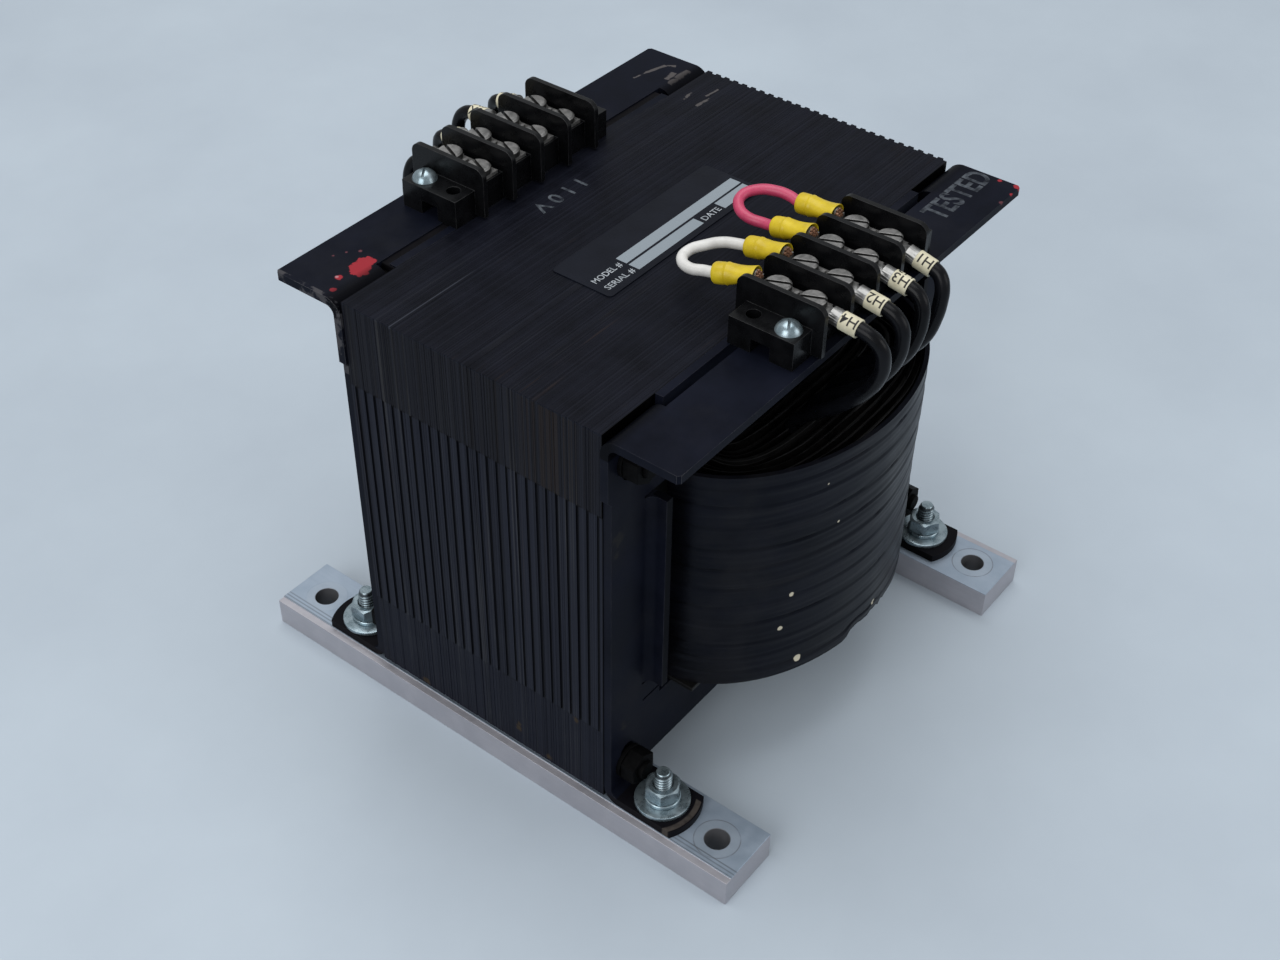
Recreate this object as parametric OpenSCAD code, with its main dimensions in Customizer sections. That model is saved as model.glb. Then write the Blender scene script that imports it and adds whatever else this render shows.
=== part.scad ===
// Power transformer: an interleaved E and I core with a taped coil, two stamped end
// frames, two barrier terminal blocks with their leads, and two mounting bars.
// X runs along the laminations, Y through the stack and Z up from under the bars.

/* [Core] */
// Width of the middle leg of the laminations
tongue_w = 63.5; // [56:0.5:72]
// Width of each outer leg
leg_w = 31.75; // [28:0.25:36]
// Height of the top and the bottom yoke
yoke_h = 31.75; // [29:0.25:36]
// Width of each winding window
window_w = 31.75; // [28:0.25:36]
// Height of each winding window
window_h = 95.25; // [88:0.25:105]
// Depth of the stack of laminations
stack_d = 103; // [94:0.5:112]
// Pairs of packs in the stack, one with its legs up and one with its legs down
pack_pairs = 26; // [12:1:30]
// How far the packs with their legs down stand proud at each side
pack_proud = 0.35; // [0.05:0.05:0.6]
// Distance of the core bolts from the side of the core
core_bolt_inset_x = 9; // [8:0.25:11]
// Distance of the core bolts from the top and the bottom of the core
core_bolt_inset_z = 12.7; // [12:0.1:14]

/* [Coil] */
// How far the coil bulges out past each face of the core
coil_bulge = 40.8; // [36:0.2:44]
// Gap between the coil and the outer legs
coil_side_gap = 0.8; // [0.3:0.1:2]
// Thickness of the insulating collar under the coil
collar_t = 1.6; // [1:0.1:2.5]
// How far the collar reaches out past each face of the core
collar_reach = 12; // [9:0.5:14]
// Gap between the winding tube and the middle leg
tube_gap = 0.4; // [0.2:0.1:0.8]
// Wall of the winding tube
tube_wall = 1.6; // [1:0.1:2.5]
// Gap between the winding tube and the top yoke
tube_top_gap = 1.25; // [0.4:0.05:3]
// How far both windings end below the top of the tube
winding_drop = 6.9; // [5.5:0.1:10]
// Build of the primary winding in the window
primary_build = 12.2; // [10:0.1:14]
// Thickness of the insulation between the windings
interlayer_t = 1.2; // [0.6:0.1:2]
// How far the insulation stands above the windings
interlayer_rise = 2.4; // [1:0.1:3.5]
// Thickness of the tape wrap
wrap_t = 1.6; // [1.2:0.1:2.4]
// How far the tape wrap ends below the top of the tube
wrap_drop = 1; // [0.4:0.1:3]
// Turns of tape on the coil
tape_turns = 13; // [8:1:16]
// Step between one turn of tape and the next
tape_step = 0.4; // [0.1:0.05:0.6]

/* [End frames] */
// Thickness of the sheet
sheet_t = 3; // [2:0.1:3.6]
// Inside radius of the bends
bend_r = 3; // [2:0.1:3.6]
// How far the flange reaches out from the core
flange_reach = 28; // [26:0.25:32]
// How far the top band stands out past each side of the core
band_overhang = 1.25; // [0.75:0.05:2]
// How far the sides below the band lie inside each side of the core
side_inset = 0.25; // [0:0.05:0.6]
// Height of the top band below the top of the core
band_h = 25.4; // [23:0.1:28]
// Width of the tab that is lanced out of the bend and stands straight against the core
tab_w = 142; // [120:0.5:146]
// Slot between the tab and the flange
tab_slot = 3.1; // [3:0.1:5]
// Width of the relief notch at each end of the tab
tab_relief = 6; // [5:0.25:10]
// Depth of the relief notch below the bend
tab_relief_d = 2; // [1:0.1:3]
// Gap between the side of the coil and the opening in the frame
opening_gap = 6.3; // [5:0.1:6.8]
// How far the opening clears the window of the core above and below
opening_rise = 0.3; // [0.1:0.05:0.6]
// Setting of the folded flap behind the edge of the opening
flap_set = 3.9; // [3.5:0.1:4.2]
// How far the flap stands out from the frame
flap_reach = 6; // [4.5:0.1:7]
// Height of plain sheet below the flap
flap_low = 12.4; // [4:0.1:16]
// Height of plain sheet above the flap
flap_high = 2.4; // [1.5:0.1:6]
// Height of the relief cut at each end of the flap
flap_slit = 1; // [0.6:0.1:1.4]
// Length of the slit beside each lower corner of the opening
corner_slit_l = 9; // [4:0.25:10]
// Height of that slit above the lower edge of the opening
corner_slit_z = 3; // [2:0.1:6]
// Width of each foot
foot_w = 19.5; // [17:0.25:22]
// How far the tip of the foot reaches out from the core
foot_reach = 30.6; // [29.8:0.1:33]
// Radius of the rounded tip of the foot
foot_tip_r = 18; // [15:0.5:24]
// Height of the lower edge between the feet above the bars
web_lift = 6.3; // [5.5:0.1:10]
// Length by which the slots for the core bolts are longer than round holes
bolt_slot_l = 4.4; // [1:0.1:5]

/* [Base bars] */
// Width of each bar
bar_w = 25.4; // [22:0.1:32]
// Height of each bar
bar_h = 11.5; // [9.5:0.1:16]
// Length of each bar
bar_len = 210; // [204:0.5:240]
// Diameter of the mounting holes in the bars
bar_hole_d = 8.7; // [6:0.1:9.5]
// Distance of the mounting holes from the ends of the bars
bar_hole_end = 13; // [10:0.25:14]
// Gap between the bars and the core
core_lift = 1.6; // [0.8:0.1:3]
// Width of the shallow rabbet along the outer top edge of a bar
rabbet_w = 2.6; // [1:0.1:4]
// Depth of that rabbet
rabbet_d = 0.4; // [0.2:0.05:1]

/* [Base fasteners] */
// Distance of the studs from the face of the core
stud_reach = 17.5; // [17:0.1:18.5]
// Diameter of the studs
stud_d = 6.35; // [5:0.05:6.5]
// Length of thread that shows above the nut
stud_end = 6; // [2:0.1:10]
// Diameter of the countersunk head under the bar
stud_head_d = 12.6; // [11:0.1:14]
// Height of that head
stud_head_h = 3.4; // [3:0.1:5]
// Diameter of the flat washers
flat_washer_d = 19.3; // [14:0.1:19.8]
// Thickness of the flat washers
flat_washer_t = 1.6; // [1:0.1:2]
// Diameter of the lock washers
lock_washer_d = 12.4; // [11:0.1:13]
// Thickness of the lock washers
lock_washer_t = 1.6; // [1:0.1:2]
// Width across the flats of the nuts on the studs and the core bolts
nut_af = 11.1; // [10:0.1:11.2]
// Height of those nuts
nut_h = 5.6; // [4:0.1:5.8]

/* [Core fasteners] */
// Diameter of the core bolts
core_bolt_d = 6.35; // [5:0.05:6.5]
// Diameter of the washers on the core bolts
core_washer_d = 12.5; // [11.5:0.1:12.6]
// Thickness of those washers
core_washer_t = 1.4; // [0.8:0.1:1.6]
// Height of the heads of the core bolts
core_head_h = 4.2; // [3:0.1:5]
// How far the core bolts stand out of their nuts
core_bolt_end = 1.6; // [0.4:0.1:1.7]

/* [Terminal blocks] */
// Distance from pole to pole
pole_pitch = 14.3; // [13.4:0.1:15]
// Thickness of the barriers
barrier_t = 1.9; // [1.4:0.1:2.4]
// Length of the barriers across the block
barrier_l = 31.5; // [29:0.25:33]
// Height of the barriers above the flange
barrier_h = 18.4; // [16:0.1:22]
// Height of the lower edge of the barriers above the flange
barrier_lift = 1; // [0.4:0.1:3]
// Radius of the top corners of the barriers
barrier_r = 3.5; // [1:0.25:5]
// Depth of the base between the barriers
base_d = 22.4; // [21.4:0.1:22.8]
// Height of the floor that carries the straps
floor_h = 10.2; // [9.2:0.1:12]
// Length of each mounting ear
ear_l = 10.4; // [10:0.1:12]
// Height of each mounting ear
ear_h = 10; // [8:0.1:12]
// Depth of each mounting ear
ear_d = 23.5; // [21:0.25:26]
// Distance between the two holes of an ear, of which the outer one holds a screw
ear_hole_span = 12.6; // [10:0.1:13]
// Width of the arch under each ear
arch_w = 7; // [4:0.1:7.2]
// Height of the arch under each ear
arch_h = 5; // [3:0.1:6]
// Distance between the two screws of a pole
screw_span = 12.5; // [12:0.1:13]
// Distance of the front block from the face of the core
front_block_reach = 13.6; // [12.5:0.1:15]
// Distance of the rear block from the face of the core
rear_block_reach = 11.6; // [11.2:0.1:14]
// Place of the front block along the flange
front_block_x = 1; // [-8:0.5:8]
// Place of the rear block along the flange
rear_block_x = -4; // [-8:0.5:8]
// Width of the straps
strap_w = 9.5; // [8:0.1:11]
// Length of the straps
strap_l = 21; // [20:0.1:21.2]
// Thickness of the straps
strap_t = 1.2; // [0.8:0.1:1.5]
// Height of the small tab in the middle of a strap
strap_tab_h = 2; // [1:0.1:3]
// Diameter of the terminal screws
term_screw_d = 4; // [3:0.1:4.2]
// Length of the terminal screws below the strap
term_screw_l = 7; // [4:0.25:9]
// Diameter of the heads of the terminal screws
term_head_d = 8.6; // [7:0.1:9]
// Height of the heads of the terminal screws
term_head_h = 2.6; // [2:0.1:3]
// Width of the slots in the screw heads
slot_w = 1.1; // [0.8:0.05:1.4]
// Diameter of the screws that hold the blocks
block_screw_d = 4; // [3:0.1:4.4]
// Diameter of their round heads
block_head_d = 8.6; // [7:0.1:9]
// Height of their round heads
block_head_h = 3.2; // [2.4:0.1:4]
// Width across the flats of their nuts
block_nut_af = 8.7; // [7:0.1:9]
// Height of their nuts
block_nut_h = 3.2; // [2:0.1:4]

/* [Leads] */
// Diameter of the black leads
lead_d = 4.8; // [4:0.1:5]
// Thickness of the ring lugs
lug_t = 0.9; // [0.6:0.1:1.2]
// Diameter of the rings
lug_d = 9.4; // [8:0.1:10]
// Width of the tongues between ring and barrel
tongue_lug_w = 5; // [3.5:0.1:5.6]
// Diameter of the barrels on the leads
barrel_d = 5.6; // [5:0.1:6]
// Length of the barrels on the front leads
front_barrel_l = 3.4; // [2:0.1:5]
// Length of the barrels on the rear leads
rear_barrel_l = 2.2; // [2:0.1:4]
// Diameter of the marker sleeves
marker_d = 6; // [5.6:0.1:6.6]
// Length of the marker sleeves
marker_l = 6.2; // [4:0.1:6.4]
// Diameter of the jumper wires
jumper_d = 3.6; // [3:0.1:3.7]
// Diameter of the insulating sleeves on the jumpers
sleeve_d = 6.8; // [6:0.1:7]
// Length of those sleeves
sleeve_l = 14.5; // [12:0.1:15]
// Length of wire inside each sleeve
sleeve_wire_l = 5.5; // [4:0.1:7]
// Height of the sleeves above the tongues of their lugs
sleeve_rise = 3; // [2:0.1:3.6]
// Angle by which the first three sleeves droop
sleeve_droop = 13; // [6:1:16]
// Angle by which the last sleeve droops
last_droop = 6; // [3:1:16]
// Angle by which the first sleeve is turned away from the second
white_splay = 11; // [0:1:12]

/* [Nameplate] */
// Length of the nameplate
plate_w = 82; // [60:0.5:90]
// Width of the nameplate
plate_d = 24; // [18:0.5:30]
// Thickness of the nameplate
plate_t = 0.4; // [0.2:0.05:0.8]
// Radius of the corners of the nameplate
plate_r = 1.5; // [0.5:0.1:4]
// Place of the nameplate along the core
plate_x = -1; // [-10:0.5:10]

/* [Hidden] */
$fn = 48;

// Clearances: a cut that passes clean through, a bolt in its hole, a nut on its thread
// and a sleeve on its wire, the last three on the radius
cut_over = 1;
hole_gap = 0.4;
thread_gap = 0.05;
sleeve_gap = 0.15;

// Core
core_w = tongue_w + 2 * window_w + 2 * leg_w;
core_h = window_h + 2 * yoke_h;
core_z = bar_h + core_lift;
core_top = core_z + core_h;
window_z = core_z + yoke_h;
face_y = stack_d / 2;
pack_t = stack_d / (2 * pack_pairs);
bolt_x = core_w / 2 - core_bolt_inset_x;
bolt_zs = [core_z + core_bolt_inset_z, core_top - core_bolt_inset_z];

// Coil, whose layers go from the square tube to the rounded wrap
coil_z = window_z + collar_t;
tube_h = window_h - collar_t - tube_top_gap;
winding_h = tube_h - winding_drop;
wrap_h = tube_h - wrap_drop;
tube_hw = tongue_w / 2 + tube_gap + tube_wall;
tube_bulge = tube_gap + tube_wall;
coil_hw = tongue_w / 2 + window_w - coil_side_gap;
primary_hw = tube_hw + primary_build;
interlayer_hw = primary_hw + interlayer_t;
secondary_hw = coil_hw - wrap_t;
winding_top = coil_z + winding_h;
square_end = 4.4;
round_end = 1.9;
outline_step = 7.5;

// End frames
bend_out = bend_r + sheet_t;
bend_leg = 0.5;
frame_y = face_y + sheet_t;
bend_z = core_top - bend_out;
band_hw = core_w / 2 + band_overhang;
side_hw = core_w / 2 - side_inset;
opening_hw = coil_hw + opening_gap;
opening_z0 = window_z - opening_rise;
opening_z1 = window_z + window_h + opening_rise;
flap_x = opening_hw + flap_set;
flap_z0 = opening_z0 + flap_low;
flap_z1 = opening_z1 - flap_high;
foot_x = side_hw - foot_w;
foot_bend_z = bar_h + bend_out;
flange_corner = 1;

// Bars and studs stand in the middle of the feet
stud_x = side_hw - foot_w / 2;
stud_y = face_y + stud_reach;
stud_base_z = bar_h + sheet_t;
stud_nut_z = stud_base_z + flat_washer_t + lock_washer_t;
stud_top = stud_nut_z + nut_h + stud_end;
stud_head_z = 0.3;

// Terminal blocks
poles = 4;
front_block_y = face_y + front_block_reach;
rear_block_y = face_y + rear_block_reach;
block_hw = poles * pole_pitch / 2;
ear_hole_x = block_hw + ear_l / 2;
strap_z = core_top + floor_h;
lug_z = strap_z + strap_t;
lug_mid_z = lug_z + lug_t / 2;
slot_depth = term_head_h / 2;
strap_tab_w = 3.2;
strap_tab_t = 1.2;
shank_hole_over = 1;

// Lugs, markers and leads: the tongue bends down just past the base of the block, and the
// barrel starts a little past that bend
lug_bend_l = base_d / 2 + 0.2;
barrel_start = 2;
marker_tail = 1.2;
lead_sides = 8;
// Tilt of each lug below the level
front_tilt = [6, 8, 10, 14];
rear_tilt = [34, 20, 6, 14];
// Route of a lead past its marker, as [sideways, outward, share of the way down]; the last
// point stands a little above the winding that the lead enters
front_route = [[0.1, 3, 0.03], [0.3, 5.2, 0.09], [0.5, 5.9, 0.18], [0.7, 5, 0.32], [0.9, 1.6, 0.48],
    [1, -4.4, 0.64], [1, -12.4, 0.79], [1, -19.4, 0.91], [1, -22.6, 1]];
rear_route = [[0.1, 3, 0.03], [0.3, 5, 0.09], [0.5, 5.6, 0.19], [0.7, 4.8, 0.33], [0.9, 2.6, 0.49],
    [1, -0.4, 0.65], [1, -3.5, 0.79], [1, -6.2, 0.91], [1, -7.4, 1]];
lead_stand = 2.5;
// How far each lead drifts sideways on its way down
front_drift = [3, 0, -2, -4];
rear_drift = [-4, 2, -2, 4];
// How strongly each lead bulges out
front_bulge = [1.2, 1, 0.8, 0.65];
rear_bulge = [0.6, 0.65, 1, 0.7];

// Jumpers: the tongue of a lug runs to the bend where its sleeve starts to droop
jumper_y = front_block_y - screw_span / 2;
jumper_bend_l = 6.6;
sleeve_bore_d = 4.4;
sleeve_droops = [sleeve_droop, sleeve_droop, sleeve_droop, last_droop];
sleeve_splays = [white_splay, 0, 0, 0];
// Route of a jumper past its sleeves, as [sideways, inward, up] from the middle between
// the ends of the sleeves; the ends themselves follow the sleeves
white_route = [[-9.2, 4, -1], [-10.6, 8.4, -1.2], [-8.8, 12.6, -1], [-4, 14, -0.8],
    [2, 11.8, -0.8], [7, 8.2, -0.8], [8.8, 4, -0.6]];
pink_route = [[-7, 4, -1.4], [-7.6, 10, -1.2], [-5.4, 15, -0.4], [-1.4, 17, 0.8],
    [3.4, 14.6, 1.8], [6.6, 9, 2], [7.4, 4, 1.6]];

// Points of a half outline on the right, then the same points on the left, backwards
function both_sides(half) =
    concat(half, [for (i = [len(half) - 1:-1:0]) [-half[i][0], half[i][1]]]);

// One end of a coil layer: a superellipse that is square at the tube and round at the wrap
function power_of(c, n) = sign(c) * pow(abs(c), 2 / n);
function layer_share(hw) = (hw - tube_hw) / (coil_hw - tube_hw);
function layer_bulge(hw) = tube_bulge + layer_share(hw) * (coil_bulge - tube_bulge);
function layer_power(hw) = square_end + layer_share(hw) * (round_end - square_end);
function layer_end(hw) = [for (a = [0:outline_step:180])
    [hw * power_of(cos(a), layer_power(hw)),
     face_y + layer_bulge(hw) * power_of(sin(a), layer_power(hw))]];
function layer_outline(hw) = concat(layer_end(hw), [for (p = layer_end(hw)) -p]);

// Rings of points square to a path, with one axis kept level with the given direction
function unit(v) = v / norm(v);
function path_way(path, i) = unit(path[min(i + 1, len(path) - 1)] - path[max(i - 1, 0)]);
function ring(centre, way, level, r, sides) = let (
    a = unit(cross(level, way)),
    b = cross(way, a)
) [for (k = [0:sides - 1])
    centre + r * (a * cos(360 * k / sides) + b * sin(360 * k / sides))];

function pole_x(i) = (i - (poles - 1) / 2) * pole_pitch;

// Point on the tilted axis of a lead's barrel, at a distance from the bend of its lug
function barrel_point(x, block_y, tilt, l) =
    [x, block_y + lug_bend_l + l * cos(tilt), lug_mid_z - l * sin(tilt)];

// Route of one lead on the rear side, with its last stretch square to the winding below
function lead_path(x, block_y, barrel_l, tilt, route, bulge, drift) = let (
    start = barrel_start + barrel_l,
    knee = barrel_point(x, block_y, tilt, start + marker_l + marker_tail),
    drop = knee[2] - winding_top - lead_stand,
    path = [for (p = route)
        knee + [drift * p[0], p[1] > 0 ? bulge * p[1] : p[1], -drop * p[2]]],
    last = path[len(path) - 1]
) concat([barrel_point(x, block_y, tilt, start), knee], path, [[last[0], last[1], winding_top]]);

// Axis of the sleeve on an inner pole of the front block, at a distance from its bend
function sleeve_way(i) = [-sin(sleeve_splays[i]) * cos(sleeve_droops[i]),
    cos(sleeve_splays[i]) * cos(sleeve_droops[i]), -sin(sleeve_droops[i])];
function sleeve_point(i, l) =
    [front_block_x + pole_x(i) - jumper_bend_l * sin(sleeve_splays[i]),
     -jumper_y + jumper_bend_l * cos(sleeve_splays[i]), lug_mid_z + sleeve_rise] + l * sleeve_way(i);
function jumper_path(i, route) = let (
    first = sleeve_point(i, sleeve_l),
    last = sleeve_point(i + 1, sleeve_l),
    middle = (first + last) / 2
) concat([sleeve_point(i, sleeve_l - sleeve_wire_l), first],
    [for (p = route) middle + p],
    [last, sleeve_point(i + 1, sleeve_l - sleeve_wire_l)]);

// Shared shapes

// A round tube along a path
module swept_tube(path, r, sides, level) {
    n = len(path);
    points = [for (i = [0:n - 1]) each ring(path[i], path_way(path, i), level, r, sides)];
    walls = [for (i = [0:n - 2], k = [0:sides - 1]) let (m = (k + 1) % sides)
        [i * sides + k, (i + 1) * sides + k, (i + 1) * sides + m, i * sides + m]];
    caps = [[for (k = [0:sides - 1]) k], [for (k = [sides - 1:-1:0]) (n - 1) * sides + k]];
    polyhedron(points, concat(walls, caps));
}

// A flat shape drawn in X and Z, with its thickness from y towards +Y
module upright(y, t) {
    translate([0, y + t, 0]) rotate([90, 0, 0]) linear_extrude(t) children();
}

// A cylinder along Y from y towards +Y
module along_y(x, y, z, d, l) {
    translate([x, y, z]) rotate([-90, 0, 0]) cylinder(d = d, h = l);
}

module ring_washer(d, bore, t) {
    difference() {
        cylinder(d = d, h = t);
        translate([0, 0, -cut_over]) cylinder(d = bore, h = t + 2 * cut_over);
    }
}

// Hexagon with two flats facing along X
module hex(af, h) {
    rotate([0, 0, 30]) cylinder(d = af / cos(30), h = h, $fn = 6);
}

module hex_nut(af, h, bore) {
    difference() {
        hex(af, h);
        translate([0, 0, -cut_over]) cylinder(d = bore, h = h + 2 * cut_over);
    }
}

module at_corners(x, y) {
    for (sx = [-1, 1], sy = [-1, 1]) translate([sx * x, sy * y, 0]) children();
}

module front_side() {
    mirror([0, 1, 0]) children();
}

// Core

module corner_holes() {
    for (sx = [-1, 1], z = bolt_zs)
        translate([sx * bolt_x, z]) circle(d = core_bolt_d + 2 * hole_gap);
}

// An E with its legs up, standing on the bottom of the core
module e_shape(hw) {
    leg_in = tongue_w / 2 + window_w;
    legs_top = window_z + window_h;
    difference() {
        polygon(both_sides([[hw, core_z], [hw, legs_top], [leg_in, legs_top], [leg_in, window_z],
            [tongue_w / 2, window_z], [tongue_w / 2, legs_top]]));
        corner_holes();
    }
}

// The I that closes that E at the top
module i_shape(hw) {
    difference() {
        translate([-hw, window_z + window_h]) square([2 * hw, yoke_h]);
        corner_holes();
    }
}

// Turns a shape of the core upside down about its own middle
module upside_down() {
    translate([0, 2 * core_z + core_h]) mirror([0, 1]) children();
}

module packs(first) {
    for (i = [0:pack_pairs - 1])
        upright(-face_y + (2 * i + first) * pack_t, pack_t) children();
}

module e_laminations_up() { color("#1f2028") packs(0) e_shape(core_w / 2); }
module i_laminations_top() { color("#22232b") packs(0) i_shape(core_w / 2); }
module e_laminations_down() { color("#25262e") packs(1) upside_down() e_shape(core_w / 2 + pack_proud); }
module i_laminations_bottom() { color("#1d1e26") packs(1) upside_down() i_shape(core_w / 2 + pack_proud); }

// Coil

module tube_square(gap) {
    hw = tongue_w / 2 + gap;
    hd = face_y + gap;
    translate([-hw, -hd]) square([2 * hw, 2 * hd]);
}

module coil_layer(z, h, hw) {
    translate([0, 0, z]) linear_extrude(h) difference() {
        polygon(layer_outline(hw));
        children();
    }
}

module winding_tube() {
    color("#3a3026") translate([0, 0, coil_z]) linear_extrude(tube_h) difference() {
        tube_square(tube_gap + tube_wall);
        tube_square(tube_gap);
    }
}

module primary_winding() {
    color("#2b1d16") coil_layer(coil_z, winding_h, primary_hw) tube_square(tube_gap + tube_wall);
}

module winding_insulation() {
    color("#2a2620") coil_layer(coil_z, winding_h + interlayer_rise, interlayer_hw)
        polygon(layer_outline(primary_hw));
}

module secondary_winding() {
    color("#2f2018") coil_layer(coil_z, winding_h, secondary_hw) polygon(layer_outline(interlayer_hw));
}

module coil_tape_wrap() {
    turn_h = wrap_h / tape_turns;
    color("#17181c") for (i = [0:tape_turns - 1])
        coil_layer(coil_z + i * turn_h, turn_h, coil_hw - (i % 2) * tape_step)
            polygon(layer_outline(secondary_hw));
}

module coil_base_collar() {
    hd = face_y + collar_reach;
    color("#26262a") translate([0, 0, window_z]) linear_extrude(collar_t) difference() {
        translate([-coil_hw, -hd]) square([2 * coil_hw, 2 * hd]);
        tube_square(tube_gap);
    }
}

// End frames, drawn for the rear and mirrored for the front

module frame_sheet() {
    difference() {
        polygon(both_sides([[tab_w / 2, core_top], [tab_w / 2, bend_z], [band_hw, bend_z],
            [band_hw, core_top - band_h + band_overhang + side_inset], [side_hw, core_top - band_h],
            [side_hw, foot_bend_z], [foot_x, foot_bend_z], [foot_x, bar_h + web_lift]]));
        translate([-opening_hw, opening_z0]) square([2 * opening_hw, opening_z1 - opening_z0]);
        for (sx = [-1, 1]) {
            frame_side_cuts(sx);
            translate([sx * bolt_x, bolt_zs[0]]) bolt_slot();
            translate([sx * bolt_x, bolt_zs[1]]) mirror([0, 1]) bolt_slot();
        }
    }
}

// Room for the folded flap, the slit under it and the relief notch beside the tab
module frame_side_cuts(sx) {
    flap_room_w = flap_x + bend_out - opening_hw + cut_over;
    slit_w = corner_slit_l + cut_over;
    mirror([sx < 0 ? 1 : 0, 0]) {
        translate([opening_hw - cut_over, flap_z0 - flap_slit])
            square([flap_room_w, flap_z1 - flap_z0 + 2 * flap_slit]);
        translate([opening_hw - cut_over, opening_z0 + corner_slit_z]) square([slit_w, flap_slit]);
        translate([tab_w / 2, bend_z - tab_relief_d]) square([tab_relief, tab_relief_d + cut_over]);
    }
}

// Slot for a core bolt, which runs on from the bolt towards the middle of the frame
module bolt_slot() {
    d = core_bolt_d + 2 * hole_gap;
    for (z = [0, bolt_slot_l]) translate([0, z]) circle(d = d);
    translate([-d / 2, 0]) square([d, bolt_slot_l]);
}

// A quarter of a bend in the sheet, about Z, in the corner between +X and +Y, with a short
// straight leg that runs on into the flat sheet at each end
module quarter_bend(l) {
    rotate_extrude(angle = 90) translate([bend_r, 0]) square([sheet_t, l]);
    translate([bend_r, -bend_leg, 0]) cube([sheet_t, bend_leg, l]);
    translate([-bend_leg, bend_r, 0]) cube([bend_leg, sheet_t, l]);
}

module top_bend(sx) {
    x1 = sx > 0 ? band_hw : -tab_w / 2 - tab_relief;
    translate([x1, face_y + bend_out, bend_z]) rotate([90, 0, -90])
        quarter_bend(band_hw - tab_w / 2 - tab_relief);
}

module flange(block_x, block_y) {
    y0 = face_y + bend_out;
    y1 = face_y + flange_reach;
    c = flange_corner;
    slot_hw = tab_w / 2 + tab_relief;
    translate([0, 0, core_top - sheet_t]) linear_extrude(sheet_t) difference() {
        polygon(both_sides([[band_hw, y0], [band_hw, y1 - c], [band_hw - c, y1]]));
        translate([-slot_hw, y0 - cut_over])
            square([2 * slot_hw, max(frame_y + tab_slot - y0, 0) + cut_over]);
        for (sx = [-1, 1]) translate([block_x + sx * ear_hole_x, block_y + ear_hole_span / 2])
            circle(d = block_screw_d + 2 * hole_gap);
    }
}

module side_flap() {
    translate([flap_x + bend_out, face_y + bend_out, flap_z0]) rotate([0, 0, 180])
        quarter_bend(flap_z1 - flap_z0);
    translate([flap_x, face_y + bend_out, flap_z0])
        cube([sheet_t, frame_y + flap_reach - face_y - bend_out, flap_z1 - flap_z0]);
}

module foot() {
    y0 = face_y + bend_out;
    translate([foot_x, y0, foot_bend_z]) rotate([-90, 0, -90]) quarter_bend(foot_w);
    translate([0, 0, bar_h]) linear_extrude(sheet_t) difference() {
        intersection() {
            translate([foot_x, y0]) square([foot_w, foot_reach]);
            translate([stud_x, face_y + foot_reach - foot_tip_r]) circle(r = foot_tip_r, $fn = 96);
        }
        translate([stud_x, stud_y]) circle(d = stud_d + 2 * hole_gap);
    }
}

module end_frame(block_x, block_y) {
    color("#22242e") {
        upright(face_y, sheet_t) frame_sheet();
        flange(block_x, block_y);
        for (sx = [-1, 1]) {
            top_bend(sx);
            mirror([sx < 0 ? 1 : 0, 0, 0]) {
                side_flap();
                foot();
            }
        }
    }
}

module front_end_frame() { front_side() end_frame(front_block_x, front_block_y); }
module rear_end_frame() { end_frame(rear_block_x, rear_block_y); }

// Core fasteners, with the heads behind and the nuts in front

module at_core_bolts() {
    for (sx = [-1, 1], z = bolt_zs) translate([sx * bolt_x, 0, z]) rotate([-90, 0, 0]) children();
}

module core_bolts() {
    head_y = frame_y + core_washer_t;
    tail = head_y + nut_h + core_bolt_end;
    color("#2c2c30") at_core_bolts() {
        translate([0, 0, head_y]) hex(nut_af, core_head_h);
        translate([0, 0, -tail]) cylinder(d = core_bolt_d, h = tail + head_y);
    }
}

module core_washers() {
    color("#3a3a3e") at_core_bolts() for (z = [frame_y, -frame_y - core_washer_t])
        translate([0, 0, z]) ring_washer(core_washer_d, core_bolt_d + 2 * hole_gap, core_washer_t);
}

module core_nuts() {
    color("#2c2c30") at_core_bolts() translate([0, 0, -frame_y - core_washer_t - nut_h])
        hex_nut(nut_af, nut_h, core_bolt_d + 2 * thread_gap);
}

// Base bars and their fasteners

// Half section of a countersunk stud, or of its hole when a gap is given
module stud_section(gap, top) {
    r = stud_d / 2 + gap;
    head_r = stud_head_d / 2 + gap;
    polygon([[0, stud_head_z], [head_r, stud_head_z], [r, stud_head_z + stud_head_h], [r, top], [0, top]]);
}

module bar(sx) {
    hw = bar_w / 2;
    hl = bar_len / 2;
    color("#c9c6c6") difference() {
        mirror([sx < 0 ? 1 : 0, 0, 0]) translate([stud_x, 0, 0]) upright(-hl, bar_len)
            polygon([[-hw, 0], [hw, 0], [hw, bar_h - rabbet_d], [hw - rabbet_w, bar_h - rabbet_d],
                [hw - rabbet_w, bar_h], [-hw, bar_h]]);
        for (sy = [-1, 1]) {
            translate([sx * stud_x, sy * (hl - bar_hole_end), -cut_over])
                cylinder(d = bar_hole_d, h = bar_h + 2 * cut_over);
            translate([sx * stud_x, sy * stud_y, 0]) {
                rotate_extrude() stud_section(hole_gap, bar_h + cut_over);
                translate([0, 0, -cut_over])
                    cylinder(d = stud_head_d + 2 * hole_gap, h = cut_over + stud_head_z);
            }
        }
    }
}

module left_base_bar() { bar(-1); }
module right_base_bar() { bar(1); }

module base_studs() {
    color("#b9c2c6") at_corners(stud_x, stud_y) rotate_extrude() stud_section(0, stud_top);
}

module base_flat_washers() {
    color("#c2ccd0") at_corners(stud_x, stud_y) translate([0, 0, stud_base_z])
        ring_washer(flat_washer_d, stud_d + 2 * hole_gap, flat_washer_t);
}

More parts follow.
